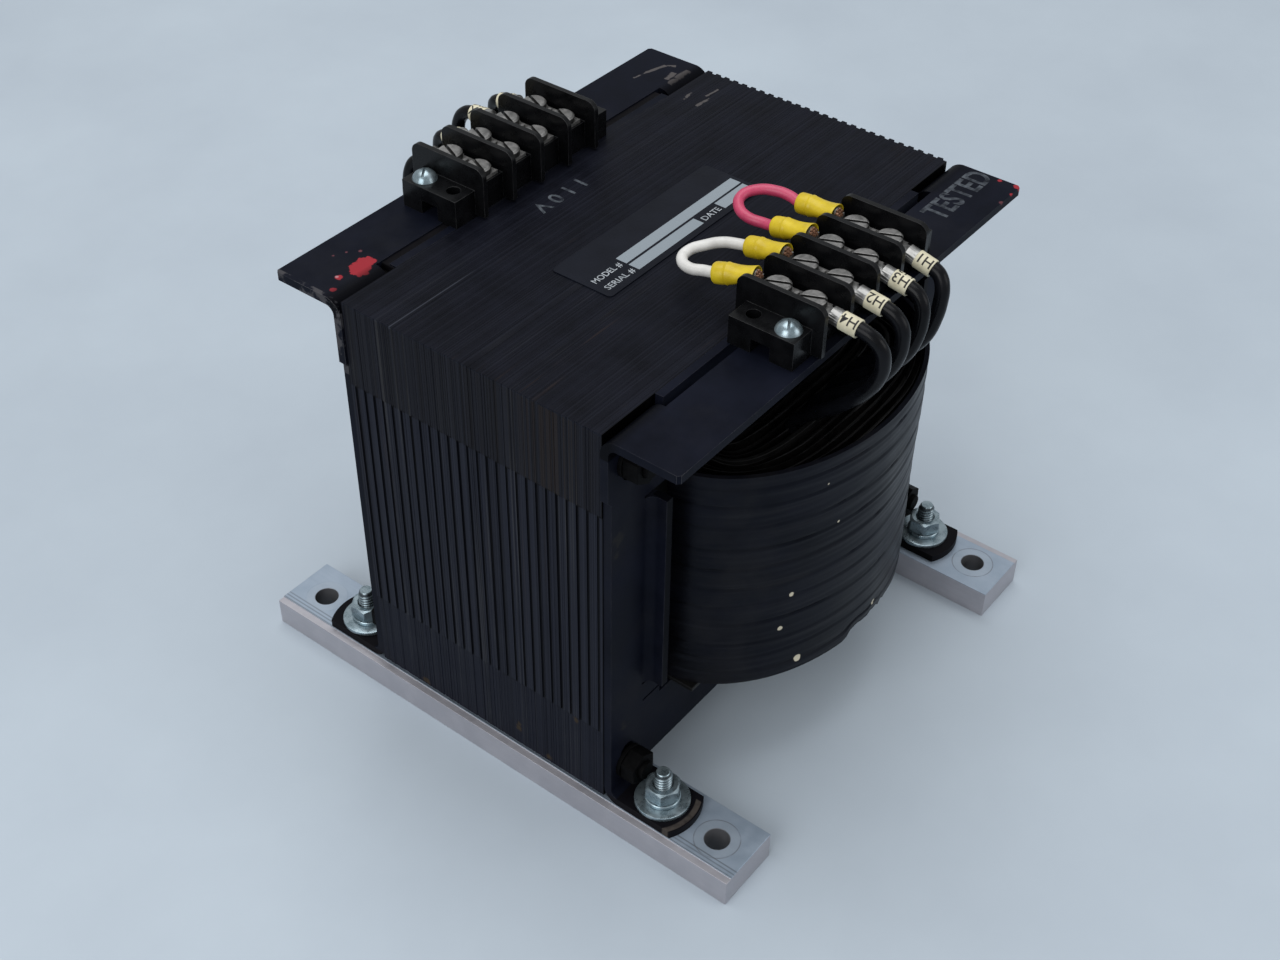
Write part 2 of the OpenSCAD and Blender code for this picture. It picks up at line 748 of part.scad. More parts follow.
// Split spring washers
module base_lock_washers() {
    gap = 1.2;
    color("#aab2b6") at_corners(stud_x, stud_y) translate([0, 0, stud_base_z + flat_washer_t])
        difference() {
            ring_washer(lock_washer_d, stud_d + 2 * hole_gap, lock_washer_t);
            translate([0, -gap / 2, -cut_over]) cube([lock_washer_d, gap, lock_washer_t + 2 * cut_over]);
        }
}

module base_nuts() {
    color("#b9c2c6") at_corners(stud_x, stud_y) translate([0, 0, stud_nut_z]) rotate([0, 0, 90])
        hex_nut(nut_af, nut_h, stud_d + 2 * thread_gap);
}

// Terminal blocks, drawn about their own middle on top of the rear flange

module at_front_block() {
    front_side() translate([front_block_x, front_block_y, core_top]) children();
}

module at_rear_block() {
    translate([rear_block_x, rear_block_y, core_top]) children();
}

module at_screws(rows) {
    for (i = [0:poles - 1], row = rows) translate([pole_x(i), row * screw_span / 2, 0]) children();
}

module barrier() {
    hl = barrier_l / 2;
    r = barrier_r;
    rotate([90, 0, 90]) linear_extrude(barrier_t) {
        translate([-hl, barrier_lift]) square([barrier_l, barrier_h - barrier_lift - r]);
        translate([r - hl, barrier_lift]) square([barrier_l - 2 * r, barrier_h - barrier_lift]);
        for (s = [-1, 1]) translate([s * (hl - r), barrier_h - r]) circle(r = r);
    }
}

module terminal_block() {
    hole_d = term_screw_d + 2 * hole_gap;
    color("#121214") difference() {
        union() {
            translate([-block_hw, -base_d / 2, 0]) cube([2 * block_hw, base_d, floor_h]);
            for (i = [0:poles]) translate([i * pole_pitch - block_hw - barrier_t / 2, 0, 0]) barrier();
            for (sx = [-1, 1]) translate([sx * (block_hw + ear_l / 2) - ear_l / 2, -ear_d / 2, 0])
                cube([ear_l, ear_d, ear_h]);
        }
        at_screws([-1, 1]) translate([0, 0, floor_h - term_screw_l - shank_hole_over])
            cylinder(d = hole_d, h = term_screw_l + shank_hole_over + cut_over);
        for (sx = [-1, 1]) {
            for (sy = [-1, 1]) translate([sx * ear_hole_x, sy * ear_hole_span / 2, -cut_over])
                cylinder(d = block_screw_d + 2 * hole_gap, h = ear_h + 2 * cut_over);
            translate([sx * (block_hw + ear_l) - ear_l, -arch_w / 2, -cut_over])
                cube([2 * ear_l, arch_w, arch_h + cut_over]);
        }
    }
}

module terminal_straps() {
    color("#b8b6b0") translate([0, 0, floor_h]) difference() {
        for (i = [0:poles - 1]) translate([pole_x(i), 0, 0]) {
            translate([-strap_w / 2, -strap_l / 2, 0]) cube([strap_w, strap_l, strap_t]);
            translate([-strap_tab_w / 2, -strap_tab_t / 2, 0])
                cube([strap_tab_w, strap_tab_t, strap_t + strap_tab_h]);
        }
        at_screws([-1, 1]) translate([0, 0, -cut_over])
            cylinder(d = term_screw_d + 2 * hole_gap, h = strap_t + 2 * cut_over);
    }
}

// A slotted screw whose head starts at Z = 0, with a softened top edge
module slotted_screw(d, l, head_d, head_h) {
    soft = head_h / 4;
    difference() {
        rotate_extrude() polygon([[0, -l], [d / 2, -l], [d / 2, 0], [head_d / 2, 0],
            [head_d / 2, head_h - soft], [head_d / 2 - soft, head_h], [0, head_h]]);
        translate([-head_d / 2 - cut_over, -slot_w / 2, head_h - slot_depth])
            cube([head_d + 2 * cut_over, slot_w, slot_depth + cut_over]);
    }
}

// Screws of one row; a lug under the head lifts them
module terminal_screws(row, lift) {
    color("#a9a8a4") at_screws([row]) translate([0, 0, floor_h + strap_t + lift])
        rotate([0, 0, 65]) slotted_screw(term_screw_d, term_screw_l + strap_t, term_head_d, term_head_h);
}

// Round-head screws down through the ears and the flange
module block_screws() {
    l = ear_h + sheet_t + block_nut_h + 1;
    ball = block_head_h / 2 + block_head_d * block_head_d / (8 * block_head_h);
    color("#c2ccd0") for (sx = [-1, 1]) translate([sx * ear_hole_x, ear_hole_span / 2, ear_h]) difference() {
        union() {
            intersection() {
                translate([0, 0, block_head_h - ball]) sphere(r = ball);
                cylinder(d = block_head_d, h = block_head_h);
            }
            translate([0, 0, -l]) cylinder(d = block_screw_d, h = l + block_head_h / 2);
        }
        rotate([0, 0, 30]) translate([-block_head_d, -slot_w / 2, block_head_h / 2])
            cube([2 * block_head_d, slot_w, block_head_h]);
    }
}

module block_nuts() {
    color("#b9c2c6") for (sx = [-1, 1]) translate([sx * ear_hole_x, ear_hole_span / 2, -sheet_t - block_nut_h])
        hex_nut(block_nut_af, block_nut_h, block_screw_d + 2 * thread_gap);
}

module front_terminal_block() { at_front_block() terminal_block(); }
module rear_terminal_block() { at_rear_block() terminal_block(); }
module front_terminal_straps() { at_front_block() terminal_straps(); }
module rear_terminal_straps() { at_rear_block() terminal_straps(); }

module front_terminal_screws() {
    at_front_block() for (row = [-1, 1]) terminal_screws(row, lug_t);
}

module rear_terminal_screws() {
    at_rear_block() {
        terminal_screws(-1, 0);
        terminal_screws(1, lug_t);
    }
}

module front_block_screws() { at_front_block() block_screws(); }
module rear_block_screws() { at_rear_block() block_screws(); }
module front_block_nuts() { at_front_block() block_nuts(); }
module rear_block_nuts() { at_rear_block() block_nuts(); }

// Leads with their lugs and markers

// Ring and tongue of a lug, with the tongue running out along +Y
module ring_lug(l) {
    difference() {
        union() {
            cylinder(d = lug_d, h = lug_t);
            translate([-tongue_lug_w / 2, 0, 0]) cube([tongue_lug_w, l, lug_t]);
        }
        translate([0, 0, -cut_over]) cylinder(d = term_screw_d + 2 * hole_gap, h = lug_t + 2 * cut_over);
    }
}

// Places something at the bend of a lead's lug, with +Y along the tilted barrel
module at_barrel(x, block_y, tilt) {
    translate([x, block_y + lug_bend_l, lug_mid_z]) rotate([-tilt, 0, 0]) children();
}

module lead_lugs(block_x, block_y, barrel_l, tilts) {
    color("#cfcfc8") for (i = [0:poles - 1]) {
        x = block_x + pole_x(i);
        translate([x, block_y + screw_span / 2, lug_z]) ring_lug(lug_bend_l - screw_span / 2);
        at_barrel(x, block_y, tilts[i]) {
            translate([-tongue_lug_w / 2, -lug_t / 2, -lug_t / 2])
                cube([tongue_lug_w, barrel_start + lug_t, lug_t]);
            along_y(0, barrel_start, 0, barrel_d, barrel_l);
        }
    }
}

module lead_markers(block_x, block_y, barrel_l, tilts) {
    start = barrel_start + barrel_l;
    color("#e6dfbf") for (i = [0:poles - 1]) at_barrel(block_x + pole_x(i), block_y, tilts[i]) difference() {
        along_y(0, start, 0, marker_d, marker_l);
        along_y(0, start - cut_over, 0, lead_d + 2 * sleeve_gap, marker_l + 2 * cut_over);
    }
}

module lead(path) {
    color("#15161a") swept_tube(path, lead_d / 2, lead_sides, [1, 0, 0]);
}

module front_lead(i) {
    front_side() lead(lead_path(front_block_x + pole_x(i), front_block_y, front_barrel_l, front_tilt[i],
        front_route, front_bulge[i], front_drift[i]));
}

module rear_lead(i) {
    lead(lead_path(rear_block_x + pole_x(i), rear_block_y, rear_barrel_l, rear_tilt[i],
        rear_route, rear_bulge[i], rear_drift[i]));
}

module front_lead_lugs() { front_side() lead_lugs(front_block_x, front_block_y, front_barrel_l, front_tilt); }
module rear_lead_lugs() { lead_lugs(rear_block_x, rear_block_y, rear_barrel_l, rear_tilt); }
module front_lead_markers() { front_side() lead_markers(front_block_x, front_block_y, front_barrel_l, front_tilt); }
module rear_lead_markers() { lead_markers(rear_block_x, rear_block_y, rear_barrel_l, rear_tilt); }

// Jumpers on the inner screws of the front block

// Places something at the bend of a jumper's lug, with +Y along the drooping sleeve
module at_jumper(i) {
    translate([front_block_x + pole_x(i), -jumper_y, lug_mid_z + sleeve_rise]) rotate([0, 0, sleeve_splays[i]])
        translate([0, jumper_bend_l, 0]) rotate([-sleeve_droops[i], 0, 0]) children();
}

module jumper_lug(i) {
    translate([front_block_x + pole_x(i), -jumper_y, lug_z]) rotate([0, 0, sleeve_splays[i]]) {
        ring_lug(jumper_bend_l);
        translate([-tongue_lug_w / 2, jumper_bend_l - lug_t, 0]) cube([tongue_lug_w, lug_t, sleeve_rise]);
    }
    at_jumper(i) along_y(0, 0, 0, sleeve_bore_d - 2 * sleeve_gap, sleeve_l - sleeve_wire_l);
}

module jumper_sleeve(i) {
    at_jumper(i) difference() {
        along_y(0, lug_t, 0, sleeve_d, sleeve_l - lug_t);
        along_y(0, -cut_over, 0, sleeve_bore_d, sleeve_l + 2 * cut_over);
    }
}

module jumper_lugs() {
    color("#b58a5a") for (i = [0:poles - 1]) jumper_lug(i);
}

module jumper_sleeves() {
    color("#f2c314") for (i = [0:poles - 1]) jumper_sleeve(i);
}

module white_jumper() {
    color("#efece6") swept_tube(jumper_path(0, white_route), jumper_d / 2, lead_sides, [0, 0, 1]);
}

module pink_jumper() {
    color("#d8486e") swept_tube(jumper_path(2, pink_route), jumper_d / 2, lead_sides, [0, 0, 1]);
}

// Nameplate on top of the core
module nameplate() {
    r = plate_r;
    color("#2a2b33") translate([plate_x, 0, core_top]) linear_extrude(plate_t) {
        square([plate_w - 2 * r, plate_d], center = true);
        square([plate_w, plate_d - 2 * r], center = true);
        for (sx = [-1, 1], sy = [-1, 1])
            translate([sx * (plate_w / 2 - r), sy * (plate_d / 2 - r)]) circle(r = r);
    }
}

e_laminations_up();
e_laminations_down();
i_laminations_top();
i_laminations_bottom();
winding_tube();
primary_winding();
winding_insulation();
secondary_winding();
coil_tape_wrap();
coil_base_collar();
front_end_frame();
rear_end_frame();
core_bolts();
core_washers();
core_nuts();
left_base_bar();
right_base_bar();
base_studs();
base_flat_washers();
base_lock_washers();
base_nuts();
front_terminal_block();
rear_terminal_block();
front_terminal_straps();
rear_terminal_straps();
front_terminal_screws();
rear_terminal_screws();
front_block_screws();
rear_block_screws();
front_block_nuts();
rear_block_nuts();
front_lead_lugs();
rear_lead_lugs();
front_lead_markers();
rear_lead_markers();
front_lead(0);  // front_lead_1
front_lead(1);  // front_lead_2
front_lead(2);  // front_lead_3
front_lead(3);  // front_lead_4
rear_lead(0);  // rear_lead_1
rear_lead(1);  // rear_lead_2
rear_lead(2);  // rear_lead_3
rear_lead(3);  // rear_lead_4
jumper_lugs();
jumper_sleeves();
white_jumper();
pink_jumper();
nameplate();
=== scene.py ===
# %% [markdown]
# # An open-frame power transformer
# The real object is a stack of thin steel sheets around a taped coil, held by two painted
# sheet-metal frames, with two terminal blocks on top and two aluminium bars below. The solids
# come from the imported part. This lesson gives them the surfaces that a photograph shows: the
# edges of single sheets, overlapping tape, worn paint, plated screws and soft wires.

import math
import random

import bmesh
import bpy
from mathutils import Matrix, Vector, noise


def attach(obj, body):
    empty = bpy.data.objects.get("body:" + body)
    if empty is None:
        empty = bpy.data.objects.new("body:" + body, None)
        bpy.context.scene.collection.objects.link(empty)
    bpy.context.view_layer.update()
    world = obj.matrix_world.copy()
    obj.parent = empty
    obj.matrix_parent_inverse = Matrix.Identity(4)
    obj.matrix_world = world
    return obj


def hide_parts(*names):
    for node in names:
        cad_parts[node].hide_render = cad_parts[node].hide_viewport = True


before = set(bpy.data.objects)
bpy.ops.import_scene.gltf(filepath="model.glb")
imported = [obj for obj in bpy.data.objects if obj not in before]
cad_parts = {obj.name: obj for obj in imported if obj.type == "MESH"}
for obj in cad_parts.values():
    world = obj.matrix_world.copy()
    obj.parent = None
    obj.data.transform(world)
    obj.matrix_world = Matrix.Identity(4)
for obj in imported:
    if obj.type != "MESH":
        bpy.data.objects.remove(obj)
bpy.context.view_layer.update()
scene = bpy.context.scene
scene.view_settings.view_transform = "Standard"
MM = 0.001
print("nodes in the frame:", len(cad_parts))

# %% [markdown]
# ## Camera
# The camera stands where the photographer stood: to the left of the front and well above. Its
# place and turn were solved from the corners of the core and the bars, so the lens is a normal
# one and there is no shift.

# %% Camera
CAMERA_PLACE = Vector((-389.53, -289.19, 483.95)) * MM
AZIMUTH, ELEVATION, ROLL = (math.radians(a) for a in (-52.70, 41.00, -0.867))
LENS_MM = 49.13

back = Vector((math.sin(AZIMUTH) * math.cos(ELEVATION),
               -math.cos(AZIMUTH) * math.cos(ELEVATION), math.sin(ELEVATION)))
level = Vector((math.cos(AZIMUTH), math.sin(AZIMUTH), 0))
down = (-back).cross(level)
right = level * math.cos(ROLL) + down * math.sin(ROLL)
up = level * math.sin(ROLL) - down * math.cos(ROLL)
bpy.ops.object.select_all(action="DESELECT")
bpy.ops.object.camera_add()
camera = bpy.context.object
camera.name = "camera"
camera.data.lens = LENS_MM
camera.data.clip_start = 0.01
camera.matrix_world = Matrix.Translation(CAMERA_PLACE) @ Matrix((right, up, back)).transposed().to_4x4()
scene.camera = camera
print("camera at", tuple(round(c, 3) for c in camera.location))

# %% [markdown]
# ## Shader helpers and shared effects
# A material is a small graph of nodes. Here a value in the graph can be used in plain sums, and
# each sum adds the node for it, so a mask reads like the rule that it stands for. Effects that
# several finishes need are node groups: a mottle of two colours, lines that are drawn out in one
# direction, a ragged spot and a fine bump. Each finish places a group with values of its own.

# %% Values that can be used in sums
class Value:
    """An output in a shader graph. A sum with it adds the node that works it out."""

    def __init__(self, tree, socket):
        self.tree = tree
        self.socket = socket

    def __add__(self, other):
        return calc("ADD", self, other)

    def __sub__(self, other):
        return calc("SUBTRACT", self, other)

    def __rsub__(self, other):
        return calc("SUBTRACT", other, self)

    def __mul__(self, other):
        return calc("MULTIPLY", self, other)

    def __truediv__(self, other):
        return calc("DIVIDE", self, other)

    def __gt__(self, other):
        return calc("GREATER_THAN", self, other)

    def __lt__(self, other):
        return calc("LESS_THAN", self, other)

    def __abs__(self):
        return calc("ABSOLUTE", self)


# %% Node helpers
def add(tree, kind, sockets=None, **settings):
    """Adds a node with its settings, and links or sets its sockets."""
    node = tree.nodes.new(kind)
    for key, given in settings.items():
        setattr(node, key, given)
    for key, given in (sockets or {}).items():
        if isinstance(given, Value):
            tree.links.new(given.socket, node.inputs[key])
        else:
            node.inputs[key].default_value = given
    return node


def value(tree, output, kind, sockets=None, **settings):
    """Adds a node and gives one of its outputs."""
    return Value(tree, add(tree, kind, sockets, **settings).outputs[output])


def link(given, target):
    given.tree.links.new(given.socket, target)


def calc(operation, a, b=0.0, clamp=False):
    tree = a.tree if isinstance(a, Value) else b.tree
    return value(tree, 0, "ShaderNodeMath", {0: a, 1: b}, operation=operation, use_clamp=clamp)


def spread(given, low, high, to_low=0.0, to_high=1.0):
    """Maps one range of a value to another."""
    sockets = {"Value": given, "From Min": low, "From Max": high, "To Min": to_low, "To Max": to_high}
    return value(given.tree, "Result", "ShaderNodeMapRange", sockets)


def blend_colour(mask, a, b):
    return value(mask.tree, 2, "ShaderNodeMix", {0: mask, 6: a, 7: b}, data_type="RGBA")


def object_place(tree):
    return value(tree, "Object", "ShaderNodeTexCoord")


def clouds(place, scale, detail, roughness=0.6):
    sockets = {"Vector": place, "Scale": scale, "Detail": detail, "Roughness": roughness}
    return value(place.tree, "Fac", "ShaderNodeTexNoise", sockets)

# %% Make and place node groups
def node_group(name, inputs, outputs):
    tree = bpy.data.node_groups.new(name, "ShaderNodeTree")
    for label, kind, default in inputs:
        socket = tree.interface.new_socket(label, in_out="INPUT", socket_type="NodeSocket" + kind)
        socket.default_value = default
    for label, kind in outputs:
        tree.interface.new_socket(label, in_out="OUTPUT", socket_type="NodeSocket" + kind)
    print("group:", name)
    given = {socket.name: Value(tree, socket) for socket in tree.nodes.new("NodeGroupInput").outputs}
    return tree, given, tree.nodes.new("NodeGroupOutput").inputs


def group(tree, name, **sockets):
    node = add(tree, "ShaderNodeGroup", sockets, node_tree=bpy.data.node_groups[name])
    return {socket.name: Value(tree, socket) for socket in node.outputs}

# %% Group: mottle of two colours
GREY = (0.5, 0.5, 0.5, 1)
tree, given, result = node_group(
    "mottle", [("Scale", "Float", 80), ("Low", "Color", GREY), ("High", "Color", GREY)],
    [("Color", "Color"), ("Mask", "Float")])
mask = spread(clouds(object_place(tree), given["Scale"], 6, 0.62), 0.33, 0.67)
link(mask, result["Mask"])
link(blend_colour(mask, given["Low"], given["High"]), result["Color"])

# %% Group: lines drawn out along one direction
tree, given, result = node_group(
    "drawn lines", [("Stretch", "Vector", (1, 1, 1)), ("From", "Float", 0.5), ("To", "Float", 0.7)],
    [("Mask", "Float")])
stretched = value(tree, "Vector", "ShaderNodeVectorMath", {0: object_place(tree), 1: given["Stretch"]},
                  operation="MULTIPLY")
link(spread(clouds(stretched, 1.0, 4), given["From"], given["To"]), result["Mask"])

# %% Group: ragged spot
tree, given, result = node_group(
    "ragged spot", [("Centre", "Vector", (0, 0, 0)), ("Radius", "Float", 0.005),
                    ("Ragged", "Float", 0.003), ("Scale", "Float", 260), ("Soft", "Float", 0.0006)],
    [("Mask", "Float")])
gap = value(tree, "Value", "ShaderNodeVectorMath", {0: object_place(tree), 1: given["Centre"]},
            operation="DISTANCE")
rag = (clouds(object_place(tree), given["Scale"], 3) - 0.5) * given["Ragged"]
inside = given["Radius"] - (gap + rag)
link(calc("DIVIDE", inside, given["Soft"], clamp=True), result["Mask"])

# %% Group: fine bump
tree, given, result = node_group(
    "fine bump", [("Scale", "Float", 600), ("Strength", "Float", 0.2), ("Depth", "Float", 0.0002)],
    [("Normal", "Vector")])
grain = clouds(object_place(tree), given["Scale"], 4)
sockets = {"Height": grain, "Strength": given["Strength"], "Distance": given["Depth"]}
link(value(tree, "Normal", "ShaderNodeBump", sockets), result["Normal"])

# %% [markdown]
# ## Floor and light
# A pale table top under an even, soft light, as in a plain workshop. A large lamp overhead gives
# the soft shadow at the foot of the object, and the sky-like surroundings fill the rest. The
# floor only has a faint mottle, because it isn't part of the object.

# %% Basic finish
def rgba(colour):
    return (*colour, 1.0)


def finish(name, low, high, scale, rough, metallic=0.0, specular=0.5, bump=(600, 0.2, 0.0002)):
    """A material with a mottle of two colours, uneven roughness and a fine bump."""
    made = bpy.data.materials.new(name)
    made.use_nodes = True
    tree = made.node_tree
    tree.nodes.clear()
    mottle = group(tree, "mottle", Scale=scale, Low=rgba(low), High=rgba(high))
    fine = group(tree, "fine bump", Scale=bump[0], Strength=bump[1], Depth=bump[2])
    surface = value(tree, 0, "ShaderNodeBsdfPrincipled", {
        "Base Color": mottle["Color"], "Roughness": spread(mottle["Mask"], 0, 1, *rough),
        "Metallic": metallic, "Specular IOR Level": specular, "Normal": fine["Normal"]})
    add(tree, "ShaderNodeOutputMaterial", {"Surface": surface})
    return made


def shader_inputs(made):
    return next(n for n in made.node_tree.nodes if n.type == "BSDF_PRINCIPLED").inputs


def cover(made, mask, colour):
    """Lays a colour over the finish where the mask is 1."""
    target = shader_inputs(made)["Base Color"]
    under = Value(made.node_tree, target.links[0].from_socket)
    link(blend_colour(mask, under, rgba(colour)), target)

# %% Floor
FLOOR_HALF = 4.0
bpy.ops.mesh.primitive_plane_add(size=2 * FLOOR_HALF, location=(0, 0, 0))
floor = bpy.context.object
floor.name = "floor"
floor.data.materials.append(
    finish("pale table top", (0.40, 0.455, 0.515), (0.44, 0.50, 0.56), 6, (0.5, 0.6), specular=0.2,
           bump=(60, 0.1, 0.0004)))
print("floor is", 2 * FLOOR_HALF, "m wide")

# %% Lamps and surroundings
WORLD_STRENGTH = 0.52
AIM = Vector((0, 0, 0.09))
LAMPS = {"overhead": ((0.1, 0.3, 1.9), 1.6, 22), "window side": ((-1.5, -0.1, 1.0), 1.1, 12),
         "front fill": ((0.6, -1.6, 0.9), 1.0, 6)}
scene.world = bpy.data.worlds.new("soft room")
scene.world.use_nodes = True
room = scene.world.node_tree.nodes["Background"].inputs
room["Color"].default_value = (0.93, 0.97, 1.0, 1)
room["Strength"].default_value = WORLD_STRENGTH
for name, (place, size, power) in LAMPS.items():
    bpy.ops.object.light_add(type="AREA", location=place)
    lamp = bpy.context.object
    lamp.name = name
    lamp.data.size = size
    lamp.data.energy = power
    lamp.rotation_euler = (Vector(place) - AIM).to_track_quat("Z", "Y").to_euler()
print("lamps:", list(LAMPS))

# %% [markdown]
# ## Modelling helpers
# Operators act on whatever is selected, so each step first selects one piece and nothing else,
# and then picks faces, edges or points by their place. A finished piece rides on the only body
# and stands for its solids.

# %% Selection and modifiers
def deselect():
    bpy.ops.object.select_all(action="DESELECT")


def only(piece):
    deselect()
    piece.select_set(True)
    bpy.context.view_layer.objects.active = piece


def edit(piece, mode="FACE"):
    only(piece)
    bpy.ops.object.mode_set(mode="EDIT")
    bpy.ops.mesh.select_mode(type=mode)
    bpy.ops.mesh.select_all(action="DESELECT")


def edit_all(piece, mode="FACE"):
    edit(piece, mode)
    bpy.ops.mesh.select_all(action="SELECT")


def leave():
    bpy.ops.object.mode_set(mode="OBJECT")


def apply(piece, kind, **settings):
    only(piece)
    made = piece.modifiers.new(kind.lower(), kind)
    for key, value in settings.items():
        setattr(made, key, value)
    bpy.ops.object.modifier_apply(modifier=made.name)


def smooth(piece, degrees=30):
    only(piece)
    bpy.ops.object.shade_smooth_by_angle(angle=math.radians(degrees))


def face_outward(piece, merge=True):
    """Merges points that meet and turns all faces outward."""
    edit_all(piece)
    if merge:
        bpy.ops.mesh.remove_doubles(threshold=1e-6)
    bpy.ops.mesh.normals_make_consistent(inside=False)
    leave()

# %% New and finished pieces
def paint_with(piece, *materials):
    piece.data.materials.clear()
    for material in materials:
        piece.data.materials.append(material)


def new_piece(name, material):
    """Names the object that an operator has just added."""
    piece = bpy.context.object
    piece.name = name
    piece.data.name = name
    paint_with(piece, material)
    return piece


def join(pieces, name):
    only(pieces[0])
    for piece in pieces[1:]:
        piece.select_set(True)
    if len(pieces) > 1:
        bpy.ops.object.join()
    pieces[0].name = name
    return pieces[0]


def settle(piece, slot, *nodes):
    """The piece rides on the object and stands for the solids; the slot argument is not used."""
    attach(piece, "root")
    if nodes:
        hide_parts(*nodes)
    piece.data.calc_loop_triangles()
    print(piece.name, len(piece.data.loop_triangles), "triangles")
    return piece


# %% [markdown]
# ## Dressing a solid
# Many solids already have the right shape and only need what a real edge has: a small round that
# catches the light. A copy of the solid is merged, its flat faces are joined, and a bevel runs
# along every sharp edge. The bevel's own faces can take a second finish, for paint that has worn
# off along the edges, and chosen faces can take a third one.

# %% Dressed copy of a node
def dress(node, material, slot, edge_mm, worn=None, angle=32, reshape=None, shade=None):
    piece = bpy.data.objects.new(node + "_finished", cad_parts[node].data.copy())
    scene.collection.objects.link(piece)
    paint_with(piece, *filter(None, (material, worn)))
    edit_all(piece)
    bpy.ops.mesh.remove_doubles(threshold=2e-6)
    bpy.ops.mesh.dissolve_limited(angle_limit=math.radians(0.6))
    leave()
    for face in piece.data.polygons:
        face.material_index = 0
    if reshape:
        for point in piece.data.vertices:
            point.co = reshape(point.co / MM) * MM
    apply(piece, "BEVEL", width=edge_mm * MM, segments=2, limit_method="ANGLE",
          angle_limit=math.radians(angle), material=1 if worn else -1, miter_outer="MITER_ARC",
          loop_slide=False)
    smooth(piece, 40)
    apply(piece, "WEIGHTED_NORMAL", keep_sharp=True, weight=100)
    if shade:
        piece.data.materials.append(shade[0])
        for face in piece.data.polygons:
            if shade[1](face.center / MM, face.normal):
                face.material_index = len(piece.data.materials) - 1
    return settle(piece, slot, node)


# %% [markdown]
# ## Finishes of the metal and plastic parts
# The frames are navy black and worn to grey along their edges. The hardware is bright zinc with a
# blue tint, the terminal screws are a duller nickel, and the bars are mill-finish aluminium with
# faint lines along their length. Marks are laid over a finish by masks, which are sums of the
# place on the object: how far a point is from an edge, a hole or the middle.

# %% Paint, plastic and plating
paint = finish("frame paint", (0.0032, 0.0040, 0.0078), (0.0064, 0.0077, 0.0146), 45, (0.36, 0.50),
               specular=0.032, bump=(900, 0.12, 0.0002))
worn_paint = finish("worn paint edge", (0.006, 0.0075, 0.014), (0.055, 0.055, 0.062), 240, (0.35, 0.5),
                    specular=0.06)
dark_steel = finish("dark steel", (0.0014, 0.0014, 0.0016), (0.004, 0.004, 0.0043), 250, (0.45, 0.6),
                    specular=0.03)
zinc = finish("bright zinc", (0.21, 0.275, 0.308), (0.36, 0.435, 0.475), 350, (0.22, 0.36), metallic=0.82,
              bump=(1500, 0.15, 0.0001))
nickel = finish("satin nickel", (0.15, 0.148, 0.145), (0.28, 0.274, 0.268), 420, (0.34, 0.5), metallic=0.7,
                bump=(1600, 0.2, 0.0001))
nickel_shade = finish("nickel in the shade", (0.02, 0.02, 0.02), (0.06, 0.058, 0.056), 400, (0.4, 0.55),
                      metallic=0.5)
tin = finish("tinned copper", (0.19, 0.19, 0.187), (0.33, 0.327, 0.32), 500, (0.28, 0.42), metallic=0.85,
             bump=(1400, 0.3, 0.0001))
plastic = finish("black moulding", (0.0024, 0.0025, 0.0029), (0.005, 0.0052, 0.006), 160, (0.20, 0.34),
                 specular=0.17, bump=(700, 0.08, 0.0002))
plastic_edge = finish("moulded edge", (0.004, 0.004, 0.0045), (0.022, 0.022, 0.024), 300, (0.25, 0.4),
                      specular=0.25)
aluminium = finish("mill aluminium", (0.375, 0.405, 0.445), (0.49, 0.515, 0.555), 120, (0.34, 0.46),
                   metallic=0.5, bump=(800, 0.1, 0.0001))
paper = finish("varnished paper", (0.002, 0.002, 0.002), (0.007, 0.007, 0.007), 150, (0.4, 0.6),
               specular=0.2)
paper_edge = finish("torn paper edge", (0.0024, 0.0024, 0.0027), (0.012, 0.012, 0.0132), 300, (0.45, 0.6),
                    specular=0.2)
print("finishes:", len(bpy.data.materials))

# %% Masks from places
def axes(made):
    """The place on the object along X, Y and Z, in mm."""
    tree = made.node_tree
    parts = add(tree, "ShaderNodeSeparateXYZ", {"Vector": object_place(tree)}).outputs
    return [Value(tree, part) / MM for part in parts]


def round_gap(made, x, y):
    """Distance in plan from the four points that lie at a place on both sides of the middle."""
    across, along, _ = axes(made)
    dx, dy = abs(across) - x, abs(along) - y
    return calc("SQRT", dx * dx + dy * dy)


def patches(made, scale, *span):
    """Clouds of a mottle, as a mask between two values."""
    return spread(group(made.node_tree, "mottle", Scale=scale)["Mask"], *span)


def drawn_lines(made, stretch, low, high):
    return group(made.node_tree, "drawn lines", Stretch=stretch, From=low, To=high)["Mask"]

# %% Lines along the bars, rings that bolt heads left round their holes, painted reflection and shade
HOLE_X, HOLE_Y, HOLE_R = 85.25, 92.0, 4.35
RING_R, RING_W, BAR_TOP = 7.9, 0.3, 11.3
LINES_X, LINE_OUT, LINE_IN = (-92.2, -93.6, -95.0), 0.4, 0.1
x, y, z = axes(aluminium)
on_top = z > BAR_TOP
gap = round_gap(aluminium, HOLE_X, HOLE_Y)
ring = spread(abs(gap - RING_R), RING_W, 0) * spread(y, 20, -20, 0.15, 1.0)
grain = drawn_lines(aluminium, (900, 6, 900), 0.42, 0.72)
cover(aluminium, grain * 0.35, (0.34, 0.35, 0.37))
# Painted reflection: the tops of the bars are tinted blue-grey and their sides pinkish grey.
cover(aluminium, on_top * 0.6, (0.23, 0.32, 0.433))
cover(aluminium, (1 - on_top) * 0.5, (0.36, 0.32, 0.35))
cover(aluminium, ring * patches(aluminium, 160, 0.1, 0.6, 0.25, 0.9), (0.16, 0.165, 0.18))
cover(aluminium, spread(gap, RING_R, RING_R - 0.6, 0.0, 0.2), (0.40, 0.44, 0.48))
# Painted shade: the walls of the holes are darkened.
cover(aluminium, spread(gap, HOLE_R + 0.3, HOLE_R + 0.1, 0.0, 0.8), (0.11, 0.11, 0.115))
